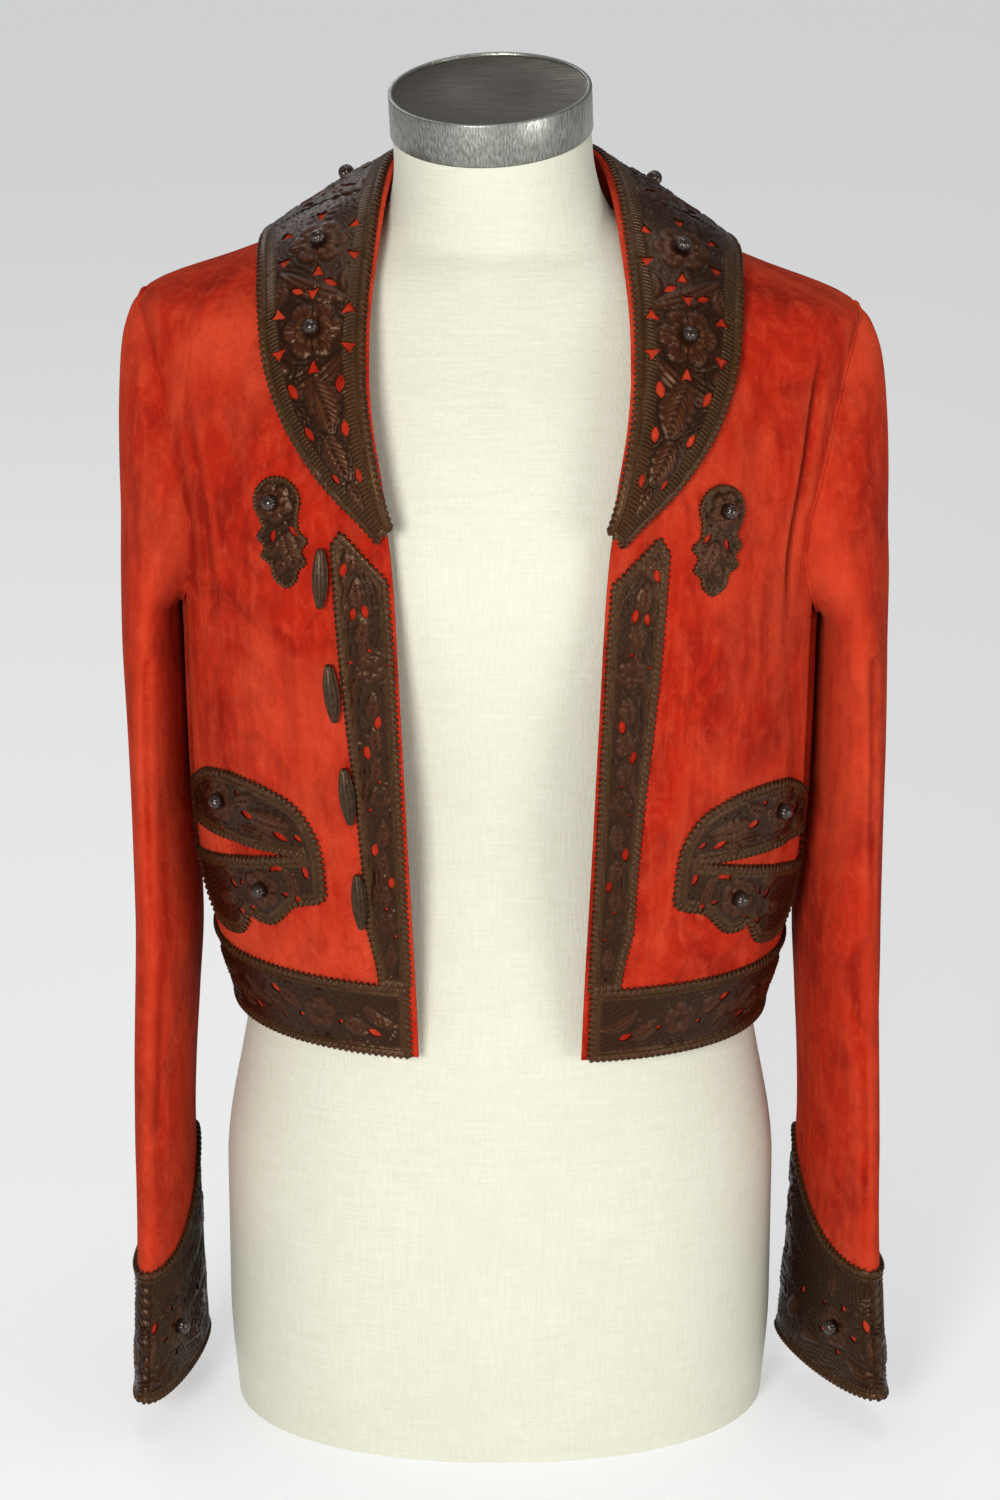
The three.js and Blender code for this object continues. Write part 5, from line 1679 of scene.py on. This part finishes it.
@dataclass
class Toggles:
    """Four rolled leather toggles on the wearer's right band."""

    body: BodyShape
    finish: Material
    length: float = 33.0
    radius: float = 4.4
    ribs: int = 7
    places: tuple = ((95.4, 536, 1), (90, 472, 7), (82.4, 413, 7), (76.5, 351, 4))

    def build(self) -> None:
        """Rolls one toggle and sets four copies."""
        model = self._roll()
        side = SIDES["right"]
        for k, (x, z, lean) in enumerate(self.places):
            at = np.array(float(z))
            angle = self.body.angle_at_x(np.array(float(x)), at)
            spot, beside, above = (self.body.point(side, angle + swing, at + rise, False)
                                   for swing, rise in ((0, 0), (0.02, 0), (0, 4)))
            along, up = unit(beside - spot), unit(above - spot)
            normal = unit(np.cross(along, up))
            normal = normal * (1 if normal[1] < 0 else -1)
            up = np.cross(normal, along)
            up = up * (1 if up[2] > 0 else -1)
            tilt = radians(lean)
            upright = up * cos(tilt) + along * sin(tilt)
            origin = spot + normal * (SEAM + LEATHER + SEAM + 0.9 * self.radius)
            piece = copy_to(model, f"rolled_toggle_{k + 1}", np.cross(upright, normal), normal,
                            upright, origin)
            settle_piece(piece, [f"toggle_{k + 1}"])
        bpy.data.objects.remove(model)

    def _roll(self) -> Piece:
        """A ribbed spindle of rolled leather with rounded ends."""
        bpy.ops.object.select_all(action="DESELECT")
        r, sides = self.radius * MM, 6 * self.ribs
        bpy.ops.mesh.primitive_circle_add(vertices=sides, radius=0.3 * r, fill_type="NGON",
                                          location=(0, 0, -self.length / 2 * MM))
        roll = bpy.context.object
        bpy.ops.object.transform_apply()
        mode("EDIT")
        bpy.ops.mesh.select_all(action="SELECT")
        shares = (0.02, 0.08, 0.16, 0.26, 0.38, 0.5, 0.62, 0.74, 0.84, 0.92, 0.98)
        spindle = [(t, 0.36 + 0.64 * sin(pi * t) ** 0.8) for t in shares]
        profile = [(0.0, 0.3), *spindle, (1.0, 0.3)]
        for (t0, r0), (t1, r1) in zip(profile, profile[1:]):
            extrude((t1 - t0) * self.length, r1 / r0)
        bpy.ops.mesh.select_all(action="SELECT")
        bpy.ops.mesh.normals_make_consistent(inside=False)
        edit(roll, lambda v: pleat_of(v.co, self.ribs) < 0.2 and v.co.xy.length > 0.35 * r)
        bpy.ops.transform.resize(value=(0.8, 0.8, 1), center_override=(0, 0, 0))
        mode("OBJECT")
        bpy.ops.object.shade_smooth_by_angle(angle=radians(60))
        roll.data.materials.clear()
        roll.data.materials.append(self.finish)
        return roll


@dataclass
class DressForm:
    """The limbless form that wears the jacket, and the cap on its neck."""

    linen: Material
    steel: Material
    top_steel_painted_reflection: Material
    sides: int = 112
    pitch: float = 12.0

    def build(self) -> None:
        """Makes the form and its cap."""
        self._form()
        self._cap()

    def ring(self, z: float, table: dict) -> Array:
        """One level ring of the form."""
        t = {name: float(curve(z)) for name, curve in table.items()}
        turn = np.arange(self.sides) / self.sides * 2 * pi
        s, c = np.sin(turn), np.cos(turn)
        across = np.sign(s) * t["half"] * np.abs(s) ** (2 / t["power"])
        depth = np.where(c > 0, -t["front"], t["back"]) * np.abs(c) ** (2 / t["power"])
        forward, aside = (tan(radians(lean)) for lean in (NECK_TILT, NECK_ROLL))
        tilt = forward * depth + aside * across
        return points(t["x"] + across, t["y"] + depth, z + t["lean"] * tilt)

    def _form(self) -> None:
        """Extrudes the form's rings from its foot."""
        table = curves(FORM, "z")
        top = FORM["z"][-1]
        closer = 640
        heights = np.unique(np.concatenate(
            [np.arange(0, closer, self.pitch), np.arange(closer, top, 4), [top]]))
        bpy.ops.object.select_all(action="DESELECT")
        bpy.ops.mesh.primitive_circle_add(vertices=self.sides, radius=0.15, fill_type="NGON")
        form = bpy.context.object
        form.name = "linen_form"
        mode("EDIT")
        bpy.ops.mesh.select_mode(type="FACE")
        bpy.ops.mesh.select_all(action="SELECT")
        for low, high in zip(heights, heights[1:]):
            extrude(float(high - low))
        bpy.ops.mesh.select_all(action="SELECT")
        bpy.ops.mesh.normals_make_consistent(inside=False)
        mode("OBJECT")
        rings = {round(float(z), 2): self.ring(float(z), table) for z in heights}
        for vertex in form.data.vertices:
            level = min(rings, key=lambda z: abs(z - vertex.co.z / MM))
            turn = pi - atan2(vertex.co.x, vertex.co.y)
            place = round(turn % (2 * pi) / (2 * pi) * self.sides)
            vertex.co = Vector(rings[level][-place % self.sides] * MM)
        form.data.materials.append(self.linen)
        only(form)
        bpy.ops.object.shade_smooth_by_angle(angle=radians(50))
        settle_piece(form, ["form_body"])

    def _cap(self) -> None:
        """Turns the cap: a drum with a rounded rim and a sunk top."""
        bpy.ops.object.select_all(action="DESELECT")
        bpy.ops.mesh.primitive_cylinder_add(
            vertices=96, radius=CAP_RADIUS * MM, depth=CAP_HEIGHT * MM, end_fill_type="NGON")
        cap = bpy.context.object
        cap.name = "steel_cap"
        edit(cap, lambda v: v.co.z > 0)
        bpy.ops.mesh.select_mode(type="FACE")
        bpy.ops.mesh.inset(thickness=2.5 * MM)
        extrude(-1.2)
        bpy.ops.mesh.inset(thickness=34 * MM)
        mode("OBJECT")
        bevel = cap.modifiers.new("rim", "BEVEL")
        bevel.width, bevel.segments, bevel.limit_method = 0.8 * MM, 3, "ANGLE"
        bpy.ops.object.modifier_apply(modifier=bevel.name)
        tilt = Matrix.Rotation(radians(NECK_TILT), 4, "X") @ Matrix.Rotation(
            -radians(NECK_ROLL), 4, "Y")
        neck = Vector((FORM["x"][-1], FORM["y"][-1], FORM["z"][-1])) * MM
        up = tilt @ Vector((0, 0, 1))
        cap.data.transform(Matrix.Translation(neck + up * (CAP_HEIGHT / 2 + SEAM) * MM) @ tilt)
        for steel in (self.steel, self.top_steel_painted_reflection):
            cap.data.materials.append(steel)
        # painted reflection: the upward faces of the sunk top take the darker steel
        rim_reach = 58 * MM
        for polygon in cap.data.polygons:
            inside = (polygon.center - neck).length < rim_reach
            polygon.material_index = int(inside and polygon.normal.dot(up) > 0.9)
        bpy.ops.object.shade_smooth_by_angle(angle=radians(40))
        settle_piece(cap, ["neck_cap"])


# ---- The carved leathers ----
# Short names for the tables.
F, L, S, O, B = Kind.FLOWER, Kind.LEAF, Kind.STEM, Kind.LENS, Kind.BOSS

# Places are stations and shares on the collar, millimetres from the middle and heights on the
# fronts, and degrees round the sleeve and heights on the cuffs.
COLLAR_MOTIFS = (
    *shapes(S, (5.48, 0.5, 62, 44, 11, 4), (7.1, 0.45, 70, 46, 11, -4),
            (3.95, 0.5, 118, 40, 10, 5)),
    *shapes(L, (3.3, 0.5, 186, 34, 19, 2), (2.35, 0.5, 183, 28, 13, -1),
            (1.45, 0.5, 182, 22, 8, 0), (5.5, 0.2, 12, 20, 9, 2), (5.45, 0.82, -8, 22, 9, -2),
            (7.15, 0.16, 14, 24, 10, 2), (7.15, 0.8, -10, 26, 10, -2), (9.2, 0.3, 10, 30, 13, 3),
            (9.2, 0.66, -12, 30, 13, -3)),
    Motif(B, 9.95, 0.5, 0, 11),
    *shapes(L, (10.5, 0.3, 5, 22, 10, 2), (10.5, 0.72, -5, 22, 10, -2)),
    Motif(B, 4.05, 0.82, 0, 8),
    *shapes(O, (3.75, 0.27, -12, 11, 4.2), (3.6, 0.76, 20, 11, 4.2), (2.85, 0.3, -8, 10, 3.6),
            (2.8, 0.74, 14, 10, 3.6), (1.95, 0.32, -6, 9, 2.8), (1.95, 0.7, 8, 8, 2.6),
            (5.5, 0.36, 60, 9, 3.6), (5.42, 0.64, 62, 9, 3.6), (7.15, 0.3, 66, 9, 3.6),
            (7.05, 0.62, 66, 9, 3.6), (9.2, 0.48, 0, 11, 4.4), (9.9, 0.22, 10, 8, 3.6),
            (9.9, 0.78, -10, 8, 3.6), (10.55, 0.5, 0, 9, 4)),
)
BAND_MOTIFS = (
    *(Motif(S, 80.5 - 1.9 * k, 533 - 34 * k, 93, 38, 6, 5 if k % 2 else -5) for k in range(7)),
    *shapes(L, (81, 548, 100, 20, 10, 1), (77, 528, 84, 18, 9, -1), (75, 508, 100, 18, 9, 1)),
    *rosette(71, 486, 17, 5, 90, 4.6, (0, 1, 4), 0.62),
    *shapes(L, (70, 465, 96, 18, 9, 1), (67, 447, 84, 18, 9, -1), (68.5, 429, 98, 16, 8, 1)),
    *rosette(66, 412, 14, 5, 90, 4.2, (0, 3), 0.64),
    *shapes(L, (65, 391, 92, 18, 9, 1), (63, 372, 84, 17, 8, -1), (64.5, 354, 98, 16, 8, 1)),
    *rosette(63, 337, 13, 5, 90, 4.0, (0, 2), 0.64),
    Motif(L, 61, 318, 92, 16, 8, 1),
    *shapes(O, (84.5, 541, 105, 9, 3.4), (73, 519, 80, 9, 3.4), (79.5, 517, 100, 8, 3.0),
            (66.5, 456, 100, 9, 3.4), (72.5, 438, 84, 9, 3.4), (69, 381, 95, 9, 3.4),
            (60, 362, 90, 8, 3.0)),
)
POCKET_MOTIFS = (
    *rosette(*POCKET_FLOWERS[0], 26, 6, 30, 6.0, (0, 1, 2, 4, 5), 0.62),
    *rosette(*POCKET_FLOWERS[1], 25, 6, 0, 6.0, (0, 2, 3, 5), 0.62),
    *shapes(L, (128, 389, 186, 30, 14, 2), (112, 371, 208, 22, 10, 2), (143, 399, 160, 18, 9, 2)),
    *shapes(S, (136, 379, 186, 26, 8, -2), (118, 350, 80, 26, 8, 4)),
    *shapes(L, (154, 352, 20, 22, 12, 2), (154, 334, -20, 20, 10, -2), (118, 332, 60, 18, 9, 2),
            (168, 376, -80, 16, 8, 1)),
    *shapes(O, (141, 389, 10, 10, 3.6), (122, 381, 20, 11, 3.4), (112, 382, 30, 7, 2.6),
            (108, 362, 75, 9, 3.2), (124, 361, -10, 8, 2.8), (150, 343, 40, 8, 3.0),
            (112, 344, 60, 8, 3.0), (145, 327, 20, 8, 3.0), (168, 388, 60, 8, 3.0)),
)
LEAF_MOTIFS = (
    *rosette(*LEAF_FLOWER, 22, 6, 0, 4.0, (), 0.6),
    *shapes(L, (122, 546, -96, 22, 13, 1), (114, 538, -130, 12, 7, 1), (131, 540, -60, 12, 7, -1),
            (112, 549, -150, 13, 7, 1), (133, 550, -30, 13, 7, -1)),
    *shapes(O, (117, 556, 60, 8, 2.8), (129, 556, 120, 8, 2.8)),
)


CUFF_POINT_MOTIFS = (
    *rosette(300, 105, 24, 5, 90, 6.0, (0, 1, 4)),
    *shapes(L, (300, 132, 90, 22, 11, 2), (296, 66, 84, 26, 12, 2)),
    *shapes(O, (284, 84, 80, 9, 3.4), (318, 84, 100, 9, 3.4)),
)


def hem_run(first: float, last: float, middle: float, pitch: float, scale: float) -> list[Motif]:
    """Flowers and leaves in turn along a hem.

    Args:
        first: where the run starts, on the hem's scale.
        last: where it ends.
        middle: its height.
        pitch: millimetres from flower to flower.
        scale: millimetres to one unit of the scale.

    Returns:
        The shapes.
    """
    count = max(1, round((last - first) * scale / pitch))
    step = (last - first) / count
    found = []
    for k in range(count):
        at = first + (k + 0.5) * step
        found += rosette(at, middle, 21, 5, 90 if k % 2 else -90, 5.5, (1, 4), 0.6)
        for way in (1, -1):
            found += [
                Motif(L, at + way * 0.27 * step, middle + 4 * way, 90 - 90 * way + 24, 21, 10, 2),
                Motif(S, at + way * 0.42 * step, middle - 3 * way, 30, 24, 7, 3 * way),
                Motif(O, at + way * 0.37 * step, middle + 8 * way, 20, 9, 3.6)]
    return found


def hem_rows() -> Array:
    """The heights of a hem band's rows."""
    return np.linspace(HEM_Z, HEM_BAND_TOP, 38)[:, None]


def cuff_spot(a: float, b: float, turn: Array, reach: Array, rows: int) -> tuple[float, float]:
    """The row and column of a place on a cuff, by degrees round the sleeve and height.

    Args:
        a: degrees round the sleeve.
        b: height.
        turn: the columns' degrees.
        reach: the columns' heights above the cuff's foot.
        rows: how many rows there are.

    Returns:
        The row and the column.
    """
    a = a + 360 if a < turn[0] else a
    return ((b - CUFF_Z) / float(np.interp(a, turn, reach)) * (rows - 1),
            float(np.interp(a, turn, np.arange(len(turn)))))


@dataclass
class CarvedTrim:
    """The leathers that are sewn on the jacket, with their lacing and knobs."""

    body: BodyShape
    collar: CollarShape
    sleeves: dict[int, SleeveShape]
    finishes: Finishes
    knobs: Knobs
    pitch: float = 1.1
    lacing: Lacing = field(default_factory=Lacing)

    def build(self) -> None:
        """Makes every leather."""
        self.knobs.start()
        for name, side in SIDES.items():
            self._collar(name, side)
            self._band(name, side)
            self._pocket(name, side)
            self._leaf(name, side)
            self._hem(name, side)
            self._cuffs(name, side)
        self._back_hem()
        bpy.data.objects.remove(self.knobs.model)

    def _finish(
        self, carving: Carving, node: str, rims: Sequence[Array], under: str,
        lacing: Optional[Lacing] = None,
    ) -> None:
        """Builds one leather with its lacing."""
        piece = carving.build(self.finishes.carved)
        settle_piece(piece, [node])
        lace = (lacing or self.lacing).build(
            f"lacing_{node}", [(carving, rim) for rim in rims], self.finishes.thong)
        settle_piece(lace)
        kept = float(np.mean(carving.edge > 0))
        declare_sheet(piece, carving.grid, "laid", under, kept, with_pieces=[lace])

    def _collar(self, name: str, side: int) -> None:
        """One half of the collar."""
        start = COLLAR_LEATHER_START
        at = np.linspace(0, COLLAR_END, 350)[None, :]
        grid = self.collar.point(np.full_like(at, side), at, np.linspace(start, 1, 58)[:, None])
        grid[..., 0] = side * np.maximum(np.abs(grid[..., 0]), SEAM / 2)
        rows, columns = grid.shape[:2]
        motifs = [*COLLAR_MOTIFS]
        for a, b in COLLAR_FLOWERS:
            motifs += rosette(a, b, 33, 6, 0, 10.0, range(6), 0.64)
        carving = Carving(
            f"carved_collar_{name}", grid, sheet_normals(grid, away_from_neck(grid)),
            insets(grid, True), motifs,
            lambda a, b: ((b - start) / (1 - start) * (rows - 1), a / COLLAR_END * (columns - 1)),
            border=11.5, grooves=(4.2, 11.0), ribs=(4.8, 10.4),
        )
        self._finish(carving, f"collar_leather_{name}", straight_rims(grid, True),
                     "suede_undercollar")
        self._knobs(carving, f"collar_{name}_{{}}", f"collar_knob_{name}_{{}}", COLLAR_FLOWERS)

    def _knobs(self, carving: Carving, title: str, node: str, flowers: Sequence) -> None:
        """Sets a knob in each of a leather's flowers, with its number in both names."""
        for k, (a, b) in enumerate(flowers, 1):
            self.knobs.place(f"knob_{title.format(k)}", carving, Motif(F, a, b), node.format(k))

    def _patch(
        self, name: str, node: str, side: int, place: Placement, corners: Sequence,
        motifs: Sequence[Motif], slit: Optional[Sequence] = None, steps: int = 6,
        lacing: Optional[Lacing] = None, **options: object,
    ) -> Carving:
        """A leather cut to an outline on a front.

        Args:
            name: the piece's name.
            node: the node that it stands for.
            side: 1 on the wearer's left and -1 on the right.
            place: where the outline is seen from.
            corners: the outline's corners.
            motifs: the carving.
            slit: the slit's tip and the two ends beyond the leather.
            steps: points from corner to corner.
            lacing: its own stitches, if they differ.
            options: the carving's own border, grooves and ribs.

        Returns:
            The carving.
        """
        line = outline_of(corners, steps)
        low, high = line.min(0) - 3, line.max(0) + 3
        patch = Patch(self.body, side, place, (low[0], high[0]), (low[1], high[1]), self.pitch)
        carving = patch.carving(name, line, motifs, **options)
        rims = [patch.index(np.concatenate([line, line[:1]]))]
        if slit is not None:
            x, z = np.meshgrid(patch.x, patch.z)
            carving.slit = -from_outline(np.asarray(slit, float), x, z)[0]
            tip, low_end, high_end = (np.asarray(p, float) for p in slit)
            end = line[:, 0].max() - 2
            for far in (low_end, high_end):
                share = np.linspace(0, (end - tip[0]) / (far[0] - tip[0]), 40)[:, None]
                rims.append(patch.index(tip + (far - tip) * share))
        under = "suede_front_left" if side > 0 else "suede_front_right"
        self._finish(carving, node, rims, under, lacing)
        return carving

    def _band(self, name: str, side: int) -> None:
        """The band down a front's edge."""
        outer = [(66.5, 298.6), (68.5, 312), (73.5, 333), (75.5, 370), (79, 412), (82.5, 445),
                 (86, 480), (89, 520), (91, 553), (86, 561)]
        inner = [(61, 536), (58.6, 500), (55.3, 425), (52.4, 350), (50.2, 298.6)]
        self._patch(f"carved_band_{name}", f"front_band_{name}", side, Placement(0, -120, 0),
                    outer + inner, BAND_MOTIFS, steps=1, border=5.0, grooves=(3.4, 5.4))

    def _pocket(self, name: str, side: int) -> None:
        """The pocket's leather, with its slanting slit."""
        corners = [(-39, 346), (-41, 357), (-38.5, 381), (-28, 398), (-12, 406), (3, 409.5),
                   (24, 410), (42, 406.5), (57, 398), (66, 388), (68, 350), (62, 329), (52, 316),
                   (42, 311), (30, 311), (20, 314), (13.5, 322), (11, 328), (4, 325.5), (-6, 326),
                   (-14, 332), (-22, 340)]
        slit = [(-27, 371), (80, 346), (80, 370)]
        carving = self._patch(f"carved_pocket_{name}", f"pocket_leather_{name}", side,
                              Placement(135, -92, 40), corners, POCKET_MOTIFS, slit,
                              border=6.5, grooves=(3.4, 6.4))
        self._knobs(carving, f"pocket_{name}_{{}}", f"pocket_knob_{name}_{{}}", POCKET_FLOWERS)

    def _leaf(self, name: str, side: int) -> None:
        """The small leaf and flower on the breast."""
        edge = [(10.5, 3), (15, -2), (11.5, -8), (14.5, -13), (9.5, -18), (9, -25), (3, -31),
                (-4, -28), (-7, -22), (-12, -19), (-10.5, -12), (-15, -7), (-11, -1)]
        for angle in np.radians(np.linspace(215, -35, 8)):
            edge.append((14 * cos(angle), 15 + 14 * sin(angle)))
        c, s = cos(radians(LEAF_LEAN)), sin(radians(LEAF_LEAN))
        corners = [(c * x - s * (y - 15) - 2.1, s * x + c * (y - 15) + 572.9) for x, y in edge]
        carving = self._patch(f"carved_leaf_{name}", f"breast_leaf_{name}", side,
                              Placement(123, -104, 27), corners,
                              swung(LEAF_MOTIFS, LEAF_FLOWER, LEAF_LEAN - LEAF_DRAWN_LEAN),
                              lacing=Lacing(2.6, 0.55, 1.7, 0.5, 1.0), border=2.2)
        self._knobs(carving, f"breast_{name}", f"breast_knob_{name}", [LEAF_FLOWER])

    def _hem(self, name: str, side: int) -> None:
        """A front's hem band."""
        z, share, margin = hem_rows(), np.linspace(0, 1, 150)[None, :], 3.4
        bare = self.body.front(side, z, share)
        first = margin / strides(bare, 1).sum(1)[:, None]
        grid = self.body.front(side, z, first + (1 - first) * share)
        self._hem_strip(f"hem_band_{name}", f"carved_hem_{name}", grid, True, f"suede_front_{name}")

    def _back_hem(self) -> None:
        """The back's hem band."""
        grid = self.body.back(hem_rows(), np.linspace(0, 1, 330)[None, :])
        self._hem_strip("hem_band_back", "carved_hem_back", grid, False, "suede_back")

    def _hem_strip(self, node: str, name: str, grid: Array, front: bool, under: str) -> None:
        """A strip of hem leather.

        Args:
            node: the node that it stands for.
            name: the piece's name.
            grid: its points.
            front: whether its first column is a rim too.
            under: what it lies on.
        """
        rows, columns = grid.shape[:2]
        high = HEM_BAND_TOP - HEM_Z
        length = float(strides(grid[rows // 2], 0).sum())
        carving = Carving(
            name, grid, sheet_normals(grid, away_from_axis(grid)), insets(grid, front),
            hem_run(0.04, 0.98, HEM_Z + high / 2, 76, length),
            lambda a, b: ((b - HEM_Z) / high * (rows - 1), a * (columns - 1)),
            border=6.0, grooves=(3.4, 6.0),
        )
        self._finish(carving, node, straight_rims(grid, front), under)

    def _cuffs(self, name: str, side: int) -> None:
        """The two halves of a cuff."""
        sleeve = self.sleeves[side]
        for half, first, last, centre, height in CUFF_HALVES:
            turn = np.linspace(first, last, 84)[None, :] * 360 / 22
            away = np.abs((turn + 240) % 360 - 180)  # from the point, at 300 degrees
            reach = CUFF_HEIGHT + CUFF_POINT * np.exp(-((away / CUFF_POINT_WIDTH) ** 2))
            z = CUFF_Z + np.linspace(0, 1, 88)[:, None] * reach
            grid = sleeve.flat(turn + 0 * z, z)
            middle = (sleeve.flat(0 * z, z) + sleeve.flat(0 * z + 180, z)) / 2
            motifs = [
                *rosette(centre, height, 27, 5, 0, 7.0),
                *shapes(L, (centre - 52, height - 8, 60, 24, 11, 2),
                        (centre + 50, height - 8, 110, 24, 11, -2)),
                *shapes(S, (centre - 30, height - 20, 20, 24, 7, 3),
                        (centre + 30, height - 20, 160, 24, 7, 3)),
                *shapes(L, (centre, height + 26, 90, 18, 9, 1)),
                *shapes(O, (centre - 40, height + 8, 70, 9, 3.2),
                        (centre + 40, height + 8, 110, 9, 3.2)),
                *(CUFF_POINT_MOTIFS if half == "inner" else ()),
            ]
            carving = Carving(
                f"carved_cuff_{half}_{name}", grid, sheet_normals(grid, grid - middle),
                insets(grid, False), motifs,
                partial(cuff_spot, turn=turn[0], reach=reach[0], rows=len(z)),
                border=6.5, grooves=(3.4, 6.4), ribs=(3.8, 6.0),
            )
            self._finish(carving, f"cuff_{half}_{name}", straight_rims(grid, False),
                         f"suede_sleeve_{name}")
            self._knobs(carving, f"cuff_{half}_{name}", f"cuff_knob_{half}_{name}",
                        [(centre, height)])


# ---- The studio ----
# The lamps' names, places, widths in metres and watts.
LAMPS = (
    ("key", (-0.75, -2.5, 1.1), 0.8, 62),
    ("fill", (2.0, -1.8, 0.45), 1.4, 28),
    ("top", (0.1, 0.1, 2.8), 1.4, 14),
    ("back", (-0.8, 1.9, 2.2), 1.4, 8),
)


@dataclass
class Studio:
    """The floor, the lights and the camera."""

    floor: Material
    lens: float = 100.0
    distance: float = 2.294
    height: float = 1.146
    tilt: float = 72.0

    def build(self) -> None:
        """Sets up the studio."""
        bpy.ops.object.select_all(action="DESELECT")
        bpy.ops.mesh.primitive_circle_add(vertices=96, radius=9, fill_type="NGON")
        floor = bpy.context.object
        floor.name = "studio_floor"
        floor.data.materials.append(self.floor)
        camera = bpy.data.cameras.new("camera")
        camera.lens, camera.sensor_width, camera.sensor_fit = self.lens, 36.0, "AUTO"
        stand = linked(bpy.data.objects.new("camera", camera))
        stand.location = (0, -self.distance, self.height)
        stand.rotation_euler = (radians(self.tilt), 0, 0)
        bpy.context.scene.camera = stand
        for lamp in LAMPS:
            self._light(*lamp)
        world = bpy.data.worlds.new("studio_air")
        world.use_nodes = True
        sky = world.node_tree.nodes["Background"]
        sky.inputs["Color"].default_value = linear("#f4f6f7")
        sky.inputs["Strength"].default_value = 0.3
        scene = bpy.context.scene
        scene.world = world
        scene.view_settings.view_transform = "Standard"

    def _light(self, name: str, place: tuple, size: float, power: float) -> None:
        """A soft light turned to the jacket's middle."""
        data = bpy.data.lights.new(name, "AREA")
        data.energy, data.size, data.shape = power, size, "DISK"
        lamp = linked(bpy.data.objects.new(name, data))
        lamp.location = place
        way = Vector((0, 0, 0.45)) - Vector(place)
        lamp.rotation_euler = way.to_track_quat("-Z", "Y").to_euler()


def main() -> None:
    """Builds every part in order."""
    logging.basicConfig(level=logging.INFO, format="%(name)s: %(message)s")
    finishes = Finishes()
    body = BodyShape()
    collar = CollarShape(body)
    sleeves = {side: SleeveShape(side, body) for side in SIDES.values()}
    Studio(finishes.floor).build()
    SuedePanels(body, collar, sleeves, finishes.suede).build()
    CarvedTrim(body, collar, sleeves, finishes, Knobs(finishes.knob)).build()
    Toggles(body, finishes.rolled).build()
    DressForm(finishes.linen, finishes.steel, finishes.top_steel_painted_reflection).build()
    LOG.info("all pieces are made")


if __name__ == "__main__":
    main()
